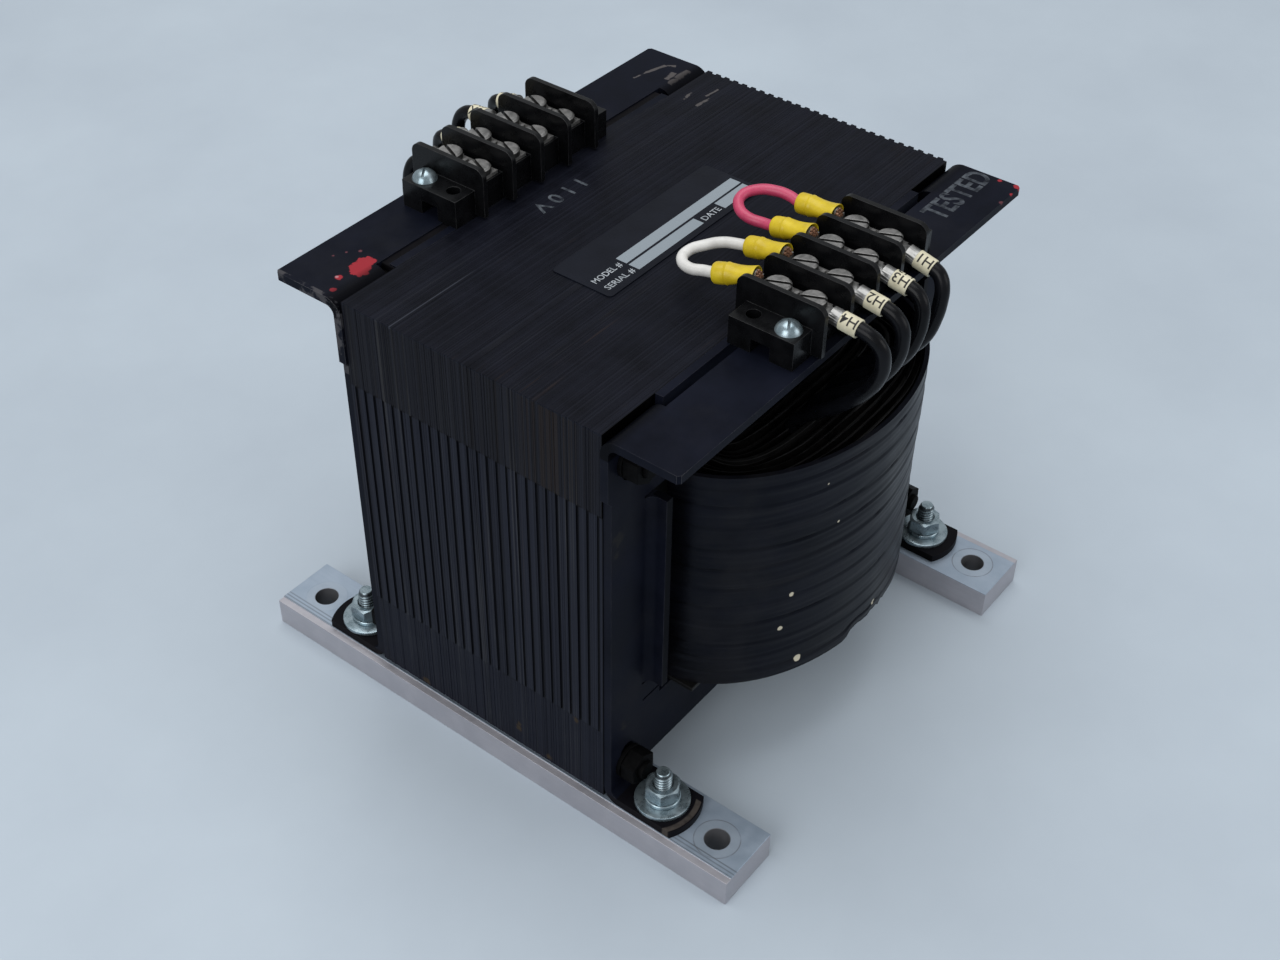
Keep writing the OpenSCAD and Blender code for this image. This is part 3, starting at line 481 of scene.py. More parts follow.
for line_x in LINES_X:
    line = spread(abs(x - line_x), LINE_OUT, LINE_IN) * on_top
    cover(aluminium, line * spread(grain, 0, 1, 0.8, 0.4), (0.12, 0.135, 0.155))
print("bars have rings of", 2 * RING_R, "mm")

# %% Dress the plain parts
NOTCH_X, NOTCH_TO, NOTCH_Z = 77.0, 74.0, 160.0
SCREW_TOP, SCREW_H, SLOT_D, LUG_LIFT, REAR_ROW_Y = 185.85, 2.6, 1.3, 0.9, 63.1


def close_notch(p):
    """The relief beside the tab is bent nearly shut by the fold."""
    if p.z > NOTCH_Z and abs(abs(p.x) - NOTCH_X) < 0.1:
        p.x = math.copysign(NOTCH_TO, p.x)
    return p


def in_slot(centre, normal):
    """The slot and the side of a terminal screw's head."""
    on_strap = 0 < centre.y < REAR_ROW_Y
    deep = SCREW_TOP + (0.0 if on_strap else LUG_LIFT) - centre.z
    return deep < SCREW_H - 0.1 and (abs(normal.z) < 0.3 or deep > SLOT_D - 0.1)


for side in ("front", "rear"):
    dress(side + "_end_frame", paint, "frame_paint", 0.35, worn=worn_paint, reshape=close_notch)
    dress(side + "_terminal_block", plastic, "block_plastic", 0.3, worn=plastic_edge)
    dress(side + "_terminal_straps", nickel, "nickel_steel", 0.12)
    dress(side + "_terminal_screws", nickel, "nickel_steel", 0.15, shade=(nickel_shade, in_slot))
    dress(side + "_block_nuts", zinc, "zinc_steel", 0.3)
    dress(side + "_lead_lugs", tin, "tinned_lug", 0.15)
for side in ("left", "right"):
    dress(side + "_base_bar", aluminium, "bar_aluminium", 0.35)
dress("core_bolts", dark_steel, "dark_steel", 0.4)
dress("core_washers", dark_steel, "dark_steel", 0.2)
dress("core_nuts", dark_steel, "dark_steel", 0.4)
dress("jumper_lugs", tin, "tinned_lug", 0.15)
dress("coil_base_collar", paper, "insulation", 0.3, worn=paper_edge)
dress("winding_tube", paper, "insulation", 0.2, worn=paper_edge)

# %% [markdown]
# ## The core, sheet by sheet
# The core is built from thin E and I sheets, four with their legs up and then four with their
# legs down, and no two sheets line up exactly. One sheet of each kind is cut from a grid and
# given its thickness. Two arrays repeat it, first as a pack of four and then through the whole
# stack, and each sheet is moved a little by itself, so that the sides show real edges. The
# varnish is uneven: some sheets are darker, some shine and a few have browned.

# %% Finish of the core: varnish over steel edges
CORE_Z, WINDOW_Z, LEGS_TOP, CORE_TOP = 13.1, 44.85, 140.1, 171.85
FACE_Y, PACKS, SHEETS_IN_PACK, SKIN = 51.5, 26, 4, 0.6
PACK_T = FACE_Y / PACKS
SHEET_T = PACK_T / SHEETS_IN_PACK
core_varnish = finish("varnished steel", (0.003, 0.0034, 0.006), (0.0062, 0.007, 0.012), 70, (0.36, 0.52),
                      specular=0.05, bump=(1200, 0.15, 0.0001))


def chance(y, seed):
    """A random value for each sheet."""
    number = calc("FLOOR", y / SHEET_T) + seed
    return value(y.tree, "Value", "ShaderNodeTexWhiteNoise", {"W": number}, noise_dimensions="1D")


x, y, z = axes(core_varnish)
tone, shine = chance(y, 0.0), chance(y, 0.37)
on_side = spread(z, CORE_TOP, CORE_TOP - SKIN)
striped = spread(on_side, 0, 1, 0.3, 1.0)
brown = drawn_lines(core_varnish, (14, 420, 14), 0.60, 0.74)
cover(core_varnish, on_side * 0.5, (0.013, 0.015, 0.024))
cover(core_varnish, spread(tone, 0.55, 1.0, 0.0, 0.6) * striped, (0.021, 0.0235, 0.035))
cover(core_varnish, spread(tone, 0.30, 0.0, 0.0, 0.75) * striped, (0.0018, 0.0018, 0.0028))
cover(core_varnish, brown * drawn_lines(core_varnish, (18, 18, 9), 0.50, 0.66) * 0.7, (0.034, 0.021, 0.014))
print("finish made:", core_varnish.name)

# %% Joints and bare sheets on the sides of the core, with painted shade in the grooves and behind the frames
RUST_Y, GROOVE_SHADE_AT = -32.0, 0.42
from_front = (y + FACE_Y) / PACK_T
odd = calc("MODULO", calc("FLOOR", from_front), 2.0)
for joint_z, here in ((LEGS_TOP, 1 - odd), (WINDOW_Z, odd)):
    cover(core_varnish, spread(abs(z - joint_z), 0.7, 0.2) * here * 0.9, (0.0008, 0.0008, 0.001))
bare = drawn_lines(core_varnish, (22, 22, 9), 0.45, 0.62) * spread(shine, 0.84, 0.92, 0.0, 0.6)
upper = spread(z, LEGS_TOP, LEGS_TOP + 0.4) * (z < CORE_TOP - SKIN)
lower = spread(z, WINDOW_Z, WINDOW_Z - 0.4)
between = (z < LEGS_TOP) - lower
rusty = spread(abs(y - RUST_Y), 14, 6, 0.12, 1.0) * spread(shine, 0.45, 0.62, 0.0, 0.42)
groove_shade = spread(abs(calc("FRACT", from_front / 2) - GROOVE_SHADE_AT), 0.13, 0.06, 0.0, 0.88)
cover(core_varnish, bare * spread(on_side, 0, 1, 0.1, 1.0), (0.055, 0.056, 0.058))
cover(core_varnish, upper * 0.45, (0.0072, 0.0068, 0.0078))
cover(core_varnish, rusty * upper, (0.0235, 0.0165, 0.0125))
cover(core_varnish, lower * 0.65, (0.0090, 0.0100, 0.0165))
cover(core_varnish, between * 0.35, (0.019, 0.021, 0.031))
# Painted shade: a dark line in the groove beside each recessed pack.
cover(core_varnish, groove_shade * between, (0.0009, 0.0009, 0.0012))
# Painted shade: the outer faces of the stack, in the gap behind the frames, are made nearly black.
cover(core_varnish, abs(y) > FACE_Y - 0.12, (0.0004, 0.0004, 0.0005))
print("joints at", WINDOW_Z, "and", LEGS_TOP, "mm")

# %% One sheet
CORE_HW, TONGUE_HW, WINDOW_OUT = 95.25, 31.75, 63.5
BOLT_X, BOLT_R, HOLE_CORNER = 86.25, 3.575, 2.1


def grid(name, material, nx, ny):
    """A square grid, with the column and the row of each of its points."""
    deselect()
    bpy.ops.mesh.primitive_grid_add(x_subdivisions=nx, y_subdivisions=ny, size=2)
    piece = new_piece(name, material)
    return piece, [(round((p.co.x + 1) * nx / 2), round((p.co.y + 1) * ny / 2)) for p in piece.data.vertices]


def pick(piece, kind, test):
    """Selects the faces or points that pass a test."""
    mesh = bmesh.from_edit_mesh(piece.data)
    for item in getattr(mesh, kind):
        item.select_set(bool(test(item)))
    mesh.select_flush_mode()
    bmesh.update_edit_mesh(piece.data)


def cut_sheet(name, left, right, rows, bolt_z, y0, window=None):
    """A sheet from a grid, with its bolt holes and, for an E, its two windows cut out."""
    cuts = [BOLT_X - BOLT_R, BOLT_X + BOLT_R] + ([TONGUE_HW, WINDOW_OUT] if window else [])
    columns = sorted([-left, right] + [s * x for s in (-1, 1) for x in cuts])
    rows = sorted([*rows, bolt_z - BOLT_R, bolt_z + BOLT_R])
    piece, cells = grid(name, core_varnish, len(columns) - 1, len(rows) - 1)
    for point, (i, k) in zip(piece.data.vertices, cells):
        point.co = Vector((columns[i], y0, rows[k])) * MM

    def in_hole(place, extra=0.0):
        reach = BOLT_R + extra
        return abs(abs(place.x) / MM - BOLT_X) < reach and abs(place.z / MM - bolt_z) < reach

    def is_open(face):
        place = face.calc_center_median()
        beside_tongue = window and TONGUE_HW < abs(place.x) / MM < WINDOW_OUT
        return in_hole(place) or (beside_tongue and window[0] < place.z / MM < window[1])

    edit(piece)
    pick(piece, "faces", is_open)
    bpy.ops.mesh.delete(type="FACE")
    bpy.ops.mesh.select_mode(type="VERT")
    pick(piece, "verts", lambda point: in_hole(point.co, 0.01))
    bpy.ops.mesh.bevel(offset=HOLE_CORNER * MM, affect="VERTICES", segments=2)
    bpy.ops.mesh.select_all(action="SELECT")
    bpy.ops.mesh.extrude_region_move(TRANSFORM_OT_translate={"value": (0, 0.97 * SHEET_T * MM, 0)})
    leave()
    face_outward(piece, merge=False)
    return piece

# %% Stacks of the four kinds of sheets
SLIP, PROUD = 0.07, 0.35
WINDOW, LOW_BOLT, HIGH_BOLT = (WINDOW_Z, LEGS_TOP), 25.8, 159.15
UP_Y, DOWN_Y = -FACE_Y, -FACE_Y + PACK_T
wobble = random.Random(7)
KINDS = {
    "e_laminations_up": ("e_sheets_up", CORE_HW, CORE_HW, (CORE_Z, *WINDOW), LOW_BOLT, UP_Y, WINDOW),
    "i_laminations_top": ("i_sheets_top", CORE_HW + 0.8 * PROUD, CORE_HW - PROUD, (LEGS_TOP, CORE_TOP),
                          HIGH_BOLT, UP_Y),
    "e_laminations_down": ("e_sheets_down", CORE_HW + PROUD, CORE_HW + 2 * PROUD, (*WINDOW, CORE_TOP),
                           HIGH_BOLT, DOWN_Y, WINDOW),
    "i_laminations_bottom": ("i_sheets_bottom", CORE_HW + 0.2 * PROUD, CORE_HW, (CORE_Z, WINDOW_Z),
                             LOW_BOLT, DOWN_Y),
}
for node, kind in KINDS.items():
    sheets = cut_sheet(*kind)
    one = len(sheets.data.vertices)
    for step, count in ((SHEET_T, SHEETS_IN_PACK), (2 * PACK_T, PACKS)):
        apply(sheets, "ARRAY", use_relative_offset=False, use_constant_offset=True,
              constant_offset_displace=(0, step * MM, 0), count=count)
    slips = [Vector((wobble.uniform(-SLIP, SLIP), 0, wobble.uniform(-0.6 * SLIP, 0.3 * SLIP))) * MM
             for _ in range(SHEETS_IN_PACK * PACKS)]
    for index, point in enumerate(sheets.data.vertices):
        point.co += slips[index // one]
    settle(sheets, "core_steel", node)

# %% [markdown]
# ## The taped coil
# The coil is wound on a square tube and grows rounder with each layer, so its outline is an oval
# between a square and a circle. Varnished tape runs round it in one long spiral, each turn over
# the edge of the last. A ring of points follows the outline, is drawn up in small steps, and then
# every point moves out or in by the place it has on its turn of tape, with wrinkles where the
# tape was pulled round the corner.

# %% Outline of the coil
COIL_HW, COIL_BULGE, COIL_POWER = 62.7, 40.8, 1.9
AROUND, FINE = 264, 400


def coil_outline(count, hw=COIL_HW, bulge=COIL_BULGE, n=COIL_POWER):
    """Points at even steps round the coil, counted from its right side, and the way round."""
    end = [Vector((hw * math.copysign(abs(math.cos(a)) ** (2 / n), math.cos(a)),
                   FACE_Y + bulge * abs(math.sin(a)) ** (2 / n)))
           for a in (math.pi * i / FINE for i in range(FINE + 1))]
    line = end + [-p for p in end]
    line.append(line[0])
    lengths = [0.0]
    for a, b in zip(line, line[1:]):
        lengths.append(lengths[-1] + (b - a).length)
    points, seat = [], 0
    for i in range(count):
        want = lengths[-1] * i / count
        while lengths[seat + 1] < want:
            seat += 1
        share = (want - lengths[seat]) / max(lengths[seat + 1] - lengths[seat], 1e-9)
        points.append(line[seat].lerp(line[seat + 1], share))
    return points, lengths[-1]


outline, way_round = coil_outline(AROUND)
print("way round the coil:", round(way_round), "mm")

# %% How far the tape stands out
WRAP_Z0, WRAP_Z1, WRAP_T, TURNS, STEP_UP = 46.45, 137.85, 1.6, 11, 0.62
LAP_H, SLACK, CREASE, LAP_SHADE = 0.50, 0.45, 0.36, 0.9
TEAR_FROM, TEAR_TO, TEAR_H, TEAR_ROWS = -12.5, 24.0, 4.6, 12.0
PITCH = (WRAP_Z1 - WRAP_Z0) / TURNS


def waves(*place):
    return noise.noise(Vector(place))


def tape_height(along, z):
    """How far the tape stands out at a place round the coil and a height, and its lap's shade."""
    uneven = z + 2.6 * waves(z / 15, along / 170, 5.0)
    turn = (uneven - WRAP_Z0) / PITCH + along / way_round
    turn += 0.08 * waves(along / 60, math.floor(turn) * 7.3, 0)
    inside = turn % 1.0
    lap = LAP_H * min(1.0, (1.0 - inside) / 0.07) * (0.5 + 0.5 * inside)
    slack = SLACK * waves(along / 45, z / 30, 3.0)
    crease = CREASE * (0.5 + 0.5 * waves(along / 70, z / 40, 21.0))
    crease *= waves(along / 30 + z / 24, z / 1.9, 9.0)
    edge_mm = min(inside, 1.0 - inside) * PITCH
    strong = 0.55 + 0.6 * waves(along / 40, math.floor(turn + 0.5) * 3.1, 12.0)
    return lap + slack + crease - 0.45, strong * max(0.0, 1.0 - edge_mm / LAP_SHADE)


def torn(place):
    """Lifts the lowest rows where the lower edge of the tape is torn away."""
    along = (place.x - TEAR_FROM) / (TEAR_TO - TEAR_FROM)
    if place.y > 0 or not 0 < along < 1 or place.z > WRAP_Z0 + TEAR_ROWS:
        return 0.0
    ragged = TEAR_H * min(1.0, 7 * along) * (1 - along ** 2)
    ragged *= 0.8 + 0.5 * waves(place.x / 1.7, 0, 4.0)
    return ragged * (1.0 - (place.z - WRAP_Z0) / TEAR_ROWS)

# %% Tape wrap
def point_ring(name, material, count):
    deselect()
    bpy.ops.mesh.primitive_circle_add(vertices=count, radius=1, fill_type="NOTHING")
    return new_piece(name, material)


def draw_up(piece, steps, height):
    """Draws a ring of edges up in equal steps."""
    edit_all(piece, "EDGE")
    for _ in range(steps):
        bpy.ops.mesh.extrude_region_move(TRANSFORM_OT_translate={"value": (0, 0, height)})
    leave()


rows_up = round((WRAP_Z1 - WRAP_Z0) / STEP_UP)
tape = finish("varnished tape", (0.0025, 0.0026, 0.0038), (0.0052, 0.0056, 0.0090), 40, (0.30, 0.42),
              specular=0.09, bump=(420, 0.12, 0.0003))
wrap = point_ring("coil_tape", tape, AROUND)
for point, place in zip(wrap.data.vertices, outline):
    point.co = Vector((place.x, place.y, WRAP_Z0)) * MM
draw_up(wrap, rows_up, (WRAP_Z1 - WRAP_Z0) / rows_up * MM)
seats = {(round(p.x, 2), round(p.y, 2)): i for i, p in enumerate(outline)}
# The lap attribute holds painted shade along the edges of each turn of tape.
lap_shade_layer = wrap.data.attributes.new("lap", "FLOAT", "POINT")
for index, point in enumerate(wrap.data.vertices):
    key = (round(point.co.x / MM, 2), round(point.co.y / MM, 2))
    i = seats.get(key)
    if i is None:
        i = min(range(AROUND), key=lambda k: (outline[k] - Vector(key)).length)
    tangent = (outline[(i + 1) % AROUND] - outline[i - 1]).normalized()
    height, lap_shade_layer.data[index].value = tape_height(way_round * i / AROUND, point.co.z / MM)
    point.co.z += torn(point.co / MM) * MM
    point.co += Vector((tangent.y, -tangent.x, 0)) * height * MM
face_outward(wrap, merge=False)
apply(wrap, "SOLIDIFY", thickness=WRAP_T * MM, offset=-1.0)
smooth(wrap, 50)
settle(wrap, "coil_tape", "coil_tape_wrap")

# %% Painted shade along the laps, dust and pale specks on the tape
def splash(made, place, radius, colour, ragged=2.0, soft=0.35):
    spot = group(made.node_tree, "ragged spot", Centre=Vector(place) * MM, Radius=radius * MM,
                 Ragged=ragged * MM, Scale=420, Soft=soft * MM)
    cover(made, spot["Mask"], colour)


SPECKS = ((-37.1, -83.5, 83.4, 1.0), (-40, -82, 69, 1.1), (-32.9, -85.5, 51.4, 1.55),
          (-21.8, -89.3, 108, 0.6), (-27.7, -87.5, 127, 0.45), (4.5, -92.5, 53, 1.25))
shader_inputs(tape)["Specular Tint"].default_value = (0.66, 0.76, 1.0, 1.0)
lap = value(tape.node_tree, "Fac", "ShaderNodeAttribute", attribute_name="lap")
# Painted shade along the edges of the laps.
cover(tape, calc("MULTIPLY", lap, 0.9, clamp=True), (0.0008, 0.0008, 0.001))
cover(tape, patches(tape, 26, 0.55, 0.9, 0.0, 0.45), (0.012, 0.0115, 0.012))
cover(tape, drawn_lines(tape, (16, 16, 430), 0.54, 0.74) * 0.42, (0.019, 0.019, 0.021))
for *place, radius in SPECKS:
    splash(tape, place, radius, (0.52, 0.47, 0.36), ragged=0.9, soft=0.3)
print("specks on the tape:", len(SPECKS))

# %% [markdown]
# ## Leads and jumpers
# Each lead is a stiff black wire that comes out of its lug, bends over the edge of the flange and
# runs down into the winding. The two jumpers are short loops of white and of pink wire. A curve
# with smooth handles goes through the same points as the solid, gets a round section and is made
# a mesh, so that the bends are soft and the sides are round.

# %% Wires along a route
def wire(name, points, radius, material, slot, node):
    line = bpy.data.curves.new(name, "CURVE")
    line.dimensions = "3D"
    line.bevel_depth = radius * MM
    line.bevel_resolution = 5
    line.resolution_u = 6
    line.use_fill_caps = True
    route = line.splines.new("BEZIER")
    route.bezier_points.add(len(points) - 1)
    for knot, place in zip(route.bezier_points, points):
        knot.co = place * MM
        knot.handle_left_type = knot.handle_right_type = "AUTO"
    piece = bpy.data.objects.new(name, line)
    scene.collection.objects.link(piece)
    only(piece)
    bpy.ops.object.convert(target="MESH")
    piece = bpy.context.object
    paint_with(piece, material)
    smooth(piece, 50)
    return settle(piece, slot, node)


# %% Leads from the blocks to the windings
LUG_BEND, LUG_Z, WINDING_TOP = 11.4, 183.7, 131.95
BARREL_START, MARKER_L, MARKER_TAIL, LEAD_STAND, LEAD_R = 2.0, 6.2, 1.2, 2.5, 2.4
POLE_PITCH, POLES = 14.3, 4
jacket = finish("black jacket", (0.0018, 0.0019, 0.0025), (0.004, 0.0044, 0.0062), 120, (0.22, 0.34),
                specular=0.15, bump=(500, 0.1, 0.0002))
SIDES = {
    "front": dict(turn=-1, x=1.0, y=65.1, barrel=3.4, tilts=(6, 8, 10, 14), drifts=(3, 0, -2, -4),
                  bulges=(1.2, 1, 0.8, 0.65),
                  route=((0.1, 3, 0.03), (0.3, 5.2, 0.09), (0.5, 5.9, 0.18), (0.7, 5, 0.32),
                         (0.9, 1.6, 0.48), (1, -4.4, 0.64), (1, -12.4, 0.79), (1, -19.4, 0.91),
                         (1, -22.6, 1))),
    "rear": dict(turn=1, x=-4.0, y=63.1, barrel=2.2, tilts=(34, 20, 6, 14), drifts=(-4, 2, -2, 4),
                 bulges=(0.6, 0.65, 1, 0.7),
                 route=((0.1, 3, 0.03), (0.3, 5, 0.09), (0.5, 5.6, 0.19), (0.7, 4.8, 0.33),
                        (0.9, 2.6, 0.49), (1, -0.4, 0.65), (1, -3.5, 0.79), (1, -6.2, 0.91),
                        (1, -7.4, 1))),
}


def pole_x(i):
    return (i - (POLES - 1) / 2) * POLE_PITCH


def facing(side, p):
    """A point that was laid out behind the middle, on the side where it belongs."""
    return Vector((p.x, side["turn"] * p.y, p.z))


def barrel_point(side, i, length):
    """A point on the axis of a lug, from the end of its barrel."""
    length += BARREL_START + side["barrel"]
    tilt = math.radians(side["tilts"][i])
    out = side["y"] + LUG_BEND + length * math.cos(tilt)
    return Vector((side["x"] + pole_x(i), out, LUG_Z - length * math.sin(tilt)))


def lead_points(side, i):
    knee = barrel_point(side, i, MARKER_L + MARKER_TAIL)
    drop = knee.z - WINDING_TOP - LEAD_STAND
    points = [barrel_point(side, i, 0.0), knee]
    for across, out, fall in side["route"]:
        out *= side["bulges"][i] if out > 0 else 1
        points.append(knee + Vector((side["drifts"][i] * across, out, -drop * fall)))
    points.append(Vector((points[-1].x, points[-1].y, WINDING_TOP)))
    return [facing(side, p) for p in points]


for name, side in SIDES.items():
    for i in range(POLES):
        wire(f"{name}_wire_{i + 1}", lead_points(side, i), LEAD_R, jacket, "lead_jacket",
             f"{name}_lead_{i + 1}")

# %% Jumpers between neighbouring poles
JUMPER_Y, JUMPER_BEND, SLEEVE_Z, SLEEVE_L, SLEEVE_WIRE_L, JUMPER_R = 58.85, 6.6, 186.7, 14.5, 5.5, 1.8
SPLAYS, DROOPS = (11, 0, 0, 0), (13, 13, 13, 6)
JUMPERS = {
    "white": (0, finish("white jacket", (0.53, 0.52, 0.50), (0.66, 0.65, 0.63), 160, (0.36, 0.5)),
              ((-9.2, 4, -1), (-10.6, 8.4, -1.2), (-8.8, 12.6, -1), (-4, 14, -0.8), (2, 11.8, -0.8),
               (7, 8.2, -0.8), (8.8, 4, -0.6))),
    "pink": (2, finish("pink jacket", (0.40, 0.034, 0.092), (0.52, 0.055, 0.128), 160, (0.34, 0.48)),
             ((-7, 4, -1.4), (-7.6, 10, -1.2), (-5.4, 15, -0.4), (-1.4, 17, 0.8), (3.4, 14.6, 1.8),
              (6.6, 9, 2), (7.4, 4, 1.6))),
}


def shift(*place):
    return Matrix.Translation(Vector(place) * MM)


def sleeve_frame(i):
    """Place of a jumper's sleeve: its bend is the origin and +Z runs along the sleeve."""
    turn = Matrix.Rotation(math.radians(SPLAYS[i]), 4, "Z")
    lean = Matrix.Rotation(-math.radians(DROOPS[i]), 4, "X") @ Matrix.Rotation(-math.pi / 2, 4, "X")
    pole = shift(SIDES["front"]["x"] + pole_x(i), -JUMPER_Y, SLEEVE_Z)
    return pole @ turn @ shift(0, JUMPER_BEND, 0) @ lean


def sleeve_point(i, length):
    return sleeve_frame(i) @ Vector((0, 0, length * MM)) / MM


for name, (i, material, route) in JUMPERS.items():
    deep = SLEEVE_L - SLEEVE_WIRE_L
    first, last = sleeve_point(i, SLEEVE_L), sleeve_point(i + 1, SLEEVE_L)
    loop = [(first + last) / 2 + Vector(p) for p in route]
    points = [sleeve_point(i, deep), first, *loop, last, sleeve_point(i + 1, deep)]
    wire(name + "_jumper_wire", points, JUMPER_R, material, name + "_jacket", name + "_jumper")

# %% [markdown]
# ## Turned pieces
# Sleeves, studs and nuts are round, so their section is drawn once and spun round an axis. A ring
# of points becomes the section, the spin makes the body, and the seam is merged. The first turned
# pieces are the yellow sleeves of the jumpers, with the ends of copper strands that show in them.

# %% Spin a closed section
def turned(name, material, section, steps=32):
    """A body of revolution about Z from a closed section of (radius, height) points in mm."""
    piece = point_ring(name, material, len(section))
    for point, (r, z) in zip(piece.data.vertices, section):
        point.co = Vector((r, 0, z)) * MM
    edit_all(piece, "VERT")
    bpy.ops.mesh.spin(steps=steps, angle=2 * math.pi, center=(0, 0, 0), axis=(0, 0, 1))
    leave()
    face_outward(piece)
    return piece


def copies(piece, name, places):
    """Copies of one model at several places, joined into one piece."""
    made = []
    for place in places:
        copy = bpy.data.objects.new(name, piece.data.copy())
        copy.data.transform(place)
        scene.collection.objects.link(copy)
        made.append(copy)
    bpy.data.objects.remove(piece)
    return join(made, name)

# %% Yellow sleeves with a crimped end
yellow = finish("yellow sleeve", (0.47, 0.335, 0.010), (0.60, 0.45, 0.015), 200, (0.28, 0.42), specular=0.35)
SLEEVE_SECTION = ((2.3, 5.0), (2.75, 3.0), (3.1, 1.2), (3.3, 0.55), (3.5, 0.4), (3.62, 0.6), (3.55, 1.4),
                  (3.42, 2.6), (3.34, 4.2), (3.36, 6.5), (3.4, 8.8), (3.46, 9.2), (3.62, 9.6), (3.62, 10.0),
                  (3.44, 10.3), (3.42, 10.6), (3.5, 11.0), (3.52, 13.4), (3.42, 14.1), (3.15, 14.5),
                  (2.6, 14.6), (1.9, 14.5), (1.9, 8.0))
PRESS_FROM, PRESS_TO, PRESS_IN, PRESS_OUT = 9.0, 6.0, 0.22, 0.08
sleeve = turned("sleeve", yellow, SLEEVE_SECTION, 36)
for point in sleeve.data.vertices:
    pressed = max(0.0, min(1.0, (PRESS_FROM - point.co.z / MM) / (PRESS_FROM - PRESS_TO)))
    point.co.y *= 1 - PRESS_IN * pressed
    point.co.x *= 1 + PRESS_OUT * pressed
smooth(sleeve, 35)
sleeves = copies(sleeve, "yellow_sleeves", [sleeve_frame(i) for i in range(POLES)])
settle(sleeves, "yellow_sleeve", "jumper_sleeves")

# %% Strand ends in the sleeves
copper = finish("bare copper", (0.10, 0.045, 0.025), (0.34, 0.18, 0.11), 700, (0.3, 0.45), metallic=0.5)
STRAND_R, STRAND_L, STRANDS_R, STRAND_UP, STRAND_Z = 0.55, 6, 1.25, -0.5, -0.9
strand = turned("strand", copper, ((0, 0), (STRAND_R, 0), (STRAND_R, STRAND_L), (0, STRAND_L)), 8)
spots = [(0, STRAND_UP, STRAND_Z)]
spots += [(STRANDS_R * math.cos(a), STRAND_UP + 0.8 * STRANDS_R * math.sin(a),
           STRAND_Z + 0.35 * math.sin(5 * a)) for a in (math.pi * k / 3 for k in range(6))]
bundle = copies(strand, "bundle", [shift(*spot) for spot in spots])
strands = copies(bundle, "jumper_strands", [sleeve_frame(i) for i in range(POLES)])
settle(strands, "winding")

# %% [markdown]
# ## Studs, washers and nuts at the feet
# The thread is a narrow grid that is rolled round the stud: each column of points starts a little
# higher than the last, so the rows climb one pitch on each turn and meet at the seam. The nut is
# a six-sided bar that is cut by a cone at both ends and bored. The spring washer is a ring with a
# slit.

# %% Sizes of the studs and shade between the threads
STUD_X, STUD_Y, STUD_R, STUD_TOP = 85.25, 69.0, 3.175, 29.3
HEAD_Z, HEAD_R, HEAD_H = 0.3, 6.3, 3.4
THREAD_Z, THREAD_PITCH, ROOT_R, CREST_R, SHADE_Z = 18.5, 1.27, 2.6, 3.12, 20.0
x, y, z = axes(zinc)
stem = round_gap(zinc, STUD_X, STUD_Y) - ROOT_R
root = spread(stem, CREST_R - ROOT_R, 0.05, 0.0, 0.85) * (stem > -0.25)
cover(zinc, root * (abs(z) > SHADE_Z), (0.035, 0.04, 0.045))
print("threads shaded from", ROOT_R, "to", CREST_R, "mm")

# %% Thread wound up the stud
THREAD_AROUND, THREAD_ROWS = 28, 6
PROFILE = (0.0, 0.55, 1.0, 1.0, 0.55, 0.0)
thread_turns = int((STUD_TOP - THREAD_Z) / THREAD_PITCH) - 1
thread, cells = grid("thread", zinc, THREAD_AROUND, thread_turns * THREAD_ROWS)
for point, (i, k) in zip(thread.data.vertices, cells):
    angle = 2 * math.pi * i / THREAD_AROUND
    z = THREAD_Z + THREAD_PITCH * (k / THREAD_ROWS + i / THREAD_AROUND)
    fade = max(0.0, min(1.0, (STUD_TOP - 0.4 - z) / THREAD_PITCH))
    r = ROOT_R + (CREST_R - ROOT_R) * PROFILE[k % THREAD_ROWS] * fade
    point.co = Vector((r * math.cos(angle), r * math.sin(angle), z)) * MM
face_outward(thread)
smooth(thread, 35)
print("thread with", thread_turns, "turns")

# %% Studs
def at_feet(height=0.0):
    return [shift(sx * STUD_X, sy * STUD_Y, height) for sx in (-1, 1) for sy in (-1, 1)]


stud = turned("stud", zinc, ((0, HEAD_Z), (HEAD_R - 0.2, HEAD_Z), (HEAD_R, HEAD_Z + 0.15),
                             (STUD_R, HEAD_Z + HEAD_H), (STUD_R, THREAD_Z - 0.5), (ROOT_R, THREAD_Z),
                             (ROOT_R, STUD_TOP - 0.7), (2.25, STUD_TOP - 0.1), (2.1, STUD_TOP),
                             (0, STUD_TOP)), 36)
smooth(stud, 30)
studs = [copies(stud, "threaded_studs", at_feet()), copies(thread, "threads", at_feet())]
settle(join(studs, "threaded_studs"), "zinc_steel", "base_studs")

# %% Washers
def box(name, material, middle, size, turn=(0, 0, 0)):
    """A box in mm, turned by degrees."""
    deselect()
    bpy.ops.mesh.primitive_cube_add(size=1, location=[c * MM for c in middle], scale=[c * MM for c in size],
                                    rotation=[math.radians(a) for a in turn])
    piece = new_piece(name, material)
    bpy.ops.object.transform_apply(location=True, rotation=True, scale=True)
    return piece


def cut(piece, tool, operation="DIFFERENCE"):
    apply(piece, "BOOLEAN", operation=operation, solver="EXACT", object=tool)
    bpy.data.objects.remove(tool)


flat = turned("flat", zinc, ((3.55, 14.5), (9.45, 14.5), (9.65, 14.75), (9.65, 15.85), (9.55, 16.02),
                             (9.3, 16.1), (3.75, 16.1), (3.55, 15.9)), 48)
smooth(flat, 40)
settle(copies(flat, "flat_washers", at_feet()), "zinc_steel", "base_flat_washers")
split = turned("split", zinc, ((3.55, 16.1), (5.95, 16.1), (6.2, 16.35), (6.2, 17.4), (5.95, 17.7),
                               (3.8, 17.7), (3.55, 17.5)), 48)
cut(split, box("slit", zinc, (5, 0, 16.9), (6, 1, 4), (25, 0, 0)))
smooth(split, 30)
settle(copies(split, "spring_washers", at_feet()), "zinc_steel", "base_lock_washers")

